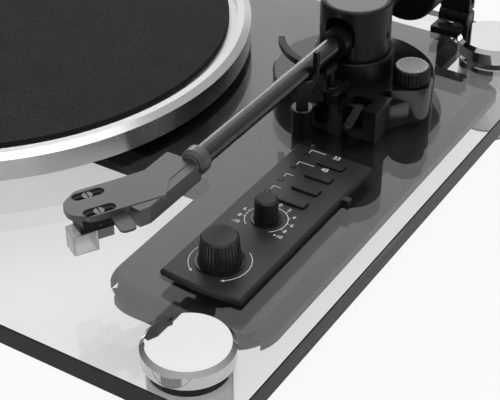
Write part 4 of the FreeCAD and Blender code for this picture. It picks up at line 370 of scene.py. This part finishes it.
mesh_piece("panel_marks", *panel_marks(), white_ink, "white_plastic", "plinth")
for text in ("33", "45"):
    place = (led_x + SPEED_NUMBER_SHIFT[0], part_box("button_" + text)[1][1] + SPEED_NUMBER_SHIFT[1])
    numeral(text, text, place, SPEED_NUMBER, panel_top, "plinth")
for clock, text in PITCH_NUMBERS.items():
    half = "slow_" if clock < 0 else "fast_"
    ring = END_NUMBER_RING if text.endswith("10") else NUMBER_RING
    numeral(half + text.strip("+-"), text, on_dial(pitch, ring, clock), NUMBER, panel_top, "plinth")

# ---- the anti-skate knob's face -------------------------------------------------------------
FACE_INSET = 1.1 * MM
FACE_RISE = 0.35 * MM
DOT_INSET = 2.2 * MM
DOT_RADIUS = 0.42 * MM
DOT_ANGLES = range(-150, 131, 20)


def dished_disc(centre, radius, height, rise, rings=3, steps=64):
    """A thin round plate: a level middle with a rounded rim that drops by rise."""
    points, faces = [], []
    for ring in range(rings + 1):
        fall = ring / rings * math.pi / 2
        ring_radius = radius - rise + rise * math.sin(fall)
        level = height - rise + rise * math.cos(fall)
        for i in range(steps):
            turn = 2 * math.pi * i / steps
            x = centre.x + ring_radius * math.cos(turn)
            y = centre.y + ring_radius * math.sin(turn)
            points.append((x, y, level))
    for ring in range(rings):
        for i in range(steps):
            a, b = ring * steps + i, ring * steps + (i + 1) % steps
            faces.append((a, a + steps, b + steps, b))
    faces.append(tuple(range(steps)))
    return points, faces


def dot(centre, radius, height, corners=8):
    """A small printed dot, facing up."""
    rim = [on_dial(centre, radius, 360 / corners * k) for k in range(corners)]
    return [(*p, height) for p in rim], [tuple(range(corners - 1, -1, -1))]


skate = middle_of("anti_skate_knob")
skate_low, skate_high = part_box("anti_skate_knob")
skate_radius = (skate_high[0] - skate_low[0]) / 2
face_top = skate_high[2] + FACE_RISE
face = dished_disc(skate, skate_radius - FACE_INSET, face_top, FACE_RISE)
mesh_piece("anti_skate_face", *face, pale_face, "grey_cap", "anti_skate")
dots = [dot(on_dial(skate, skate_radius - DOT_INSET, clock), DOT_RADIUS, face_top + INK)
        for clock in DOT_ANGLES]
mesh_piece("anti_skate_dots", *gather(dots), white_ink, "white_plastic", "anti_skate")


# ---- camera ---------------------------------------------------------------------------------
def add_camera(place, azimuth, elevation, roll, lens):
    """A camera right of the front by azimuth, looking down by elevation; angles in degrees."""
    data = bpy.data.cameras.new("camera")
    data.sensor_width = 36
    data.lens = lens
    data.clip_start = 0.01
    camera = bpy.data.objects.new("camera", data)
    bpy.context.scene.collection.objects.link(camera)
    round_by, down_by, lean = (math.radians(angle) for angle in (azimuth, elevation, roll))
    ahead = Vector((-math.sin(round_by) * math.cos(down_by), math.cos(round_by) * math.cos(down_by),
                    -math.sin(down_by)))
    side = Vector((math.cos(round_by), math.sin(round_by), 0))
    over = side.cross(ahead)
    right = side * math.cos(lean) + over * math.sin(lean)
    up = over * math.cos(lean) - side * math.sin(lean)
    facing = Matrix((right, up, -ahead)).transposed().to_4x4()
    camera.matrix_world = Matrix.Translation(place) @ facing
    bpy.context.scene.camera = camera


add_camera((0.42645, -0.47762, 0.41392), azimuth=32.33, elevation=35.23, roll=-0.36, lens=95.126)


# ---- stage and lights -----------------------------------------------------------------------
FLOOR_REACH = 6                                          # metres to each side
# How much of the paper's white each kind of ray sees as the paper's own glow.
PAPER_GLOW = {"Is Camera Ray": 0.92, "Is Transmission Ray": 0.66, "Is Glossy Ray": 0.1}


def math_node(tree, operation, first, second):
    """One arithmetic node; second is a number or another node's output."""
    node = tree.nodes.new("ShaderNodeMath")
    node.operation = operation
    tree.links.new(first, node.inputs[0])
    if isinstance(second, float):
        node.inputs[1].default_value = second
    else:
        tree.links.new(second, node.inputs[1])
    return node.outputs["Value"]


def studio_paper(name):
    """White paper that keeps a soft shadow: part of its white is its own glow."""
    mat, tree, shader, out = new_material(name)
    paper = noise(tree, coords(tree), 260, 3)
    tree.links.new(shade(tree, paper, (0.58, 0.58, 0.58), (0.62, 0.62, 0.62)), shader.inputs["Base Color"])
    shader.inputs["Roughness"].default_value = 0.95
    shader.inputs["Specular IOR Level"].default_value = 0.0
    white = tree.nodes.new("ShaderNodeEmission")
    white.inputs["Strength"].default_value = 1.0
    path = tree.nodes.new("ShaderNodeLightPath")
    glows = [math_node(tree, "MULTIPLY", path.outputs[ray], part) for ray, part in PAPER_GLOW.items()]
    share = glows[0]
    for glow in glows[1:]:
        share = math_node(tree, "MAXIMUM", share, glow)
    mix = tree.nodes.new("ShaderNodeMixShader")
    tree.links.new(share, mix.inputs["Fac"])
    tree.links.new(shader.outputs["BSDF"], mix.inputs[1])
    tree.links.new(white.outputs["Emission"], mix.inputs[2])
    tree.links.new(mix.outputs["Shader"], out.inputs["Surface"])
    return mat


corners = [(x * FLOOR_REACH, y * FLOOR_REACH, 0) for x, y in ((-1, -1), (1, -1), (1, 1), (-1, 1))]
mesh = bpy.data.meshes.new("floor")
mesh.from_pydata(corners, [], [(0, 1, 2, 3)])
mesh.materials.append(studio_paper("floor_paper"))
floor = bpy.data.objects.new("floor", mesh)
bpy.context.scene.collection.objects.link(floor)


def softbox(name, place, target, width, height, strength):
    """A rectangular lamp whose power grows with its area, so strength alone sets how bright it looks."""
    data = bpy.data.lights.new(name, "AREA")
    data.shape = "RECTANGLE"
    data.size, data.size_y = width, height
    data.energy = strength * math.pi * width * height
    lamp = bpy.data.objects.new(name, data)
    bpy.context.scene.collection.objects.link(lamp)
    lamp.location = place
    lamp.rotation_euler = (Vector(target) - Vector(place)).to_track_quat("-Z", "Y").to_euler()


softbox("back_softbox", (-1.6, 2.45, 1.6), (0, 0, 0.6), width=3.4, height=3.0, strength=0.75)
softbox("top_softbox", (0.5, 0.1, 2.8), (0, 0, 0.05), width=1.8, height=1.8, strength=2.3)
softbox("rim_strip", (-1.85, 1.7, 0.62), (0.15, 0, 0.1), width=1.5, height=0.34, strength=5.0)


def add_world(low, high):
    """White to the camera; as light it is low at the horizon and rises to high towards the top."""
    world = bpy.data.worlds.new("world")
    bpy.context.scene.world = world
    world.use_nodes = True
    tree = world.node_tree
    sky = tree.nodes["Background"]
    look = tree.nodes.new("ShaderNodeTexCoord")
    split = tree.nodes.new("ShaderNodeSeparateXYZ")
    tree.links.new(look.outputs["Generated"], split.inputs["Vector"])
    path = tree.nodes.new("ShaderNodeLightPath")
    level = tree.nodes.new("ShaderNodeMix")
    level.data_type = "FLOAT"
    tree.links.new(path.outputs["Is Camera Ray"], level.inputs["Factor"])
    tree.links.new(spread(tree, split.outputs["Z"], low, high, 0.0, 0.9), level.inputs["A"])
    level.inputs["B"].default_value = 1.0
    tree.links.new(level.outputs["Result"], sky.inputs["Strength"])
    sky.inputs["Color"].default_value = (1, 1, 1, 1)


add_world(0.12, 0.7)

bpy.context.scene.view_settings.view_transform = "Standard"
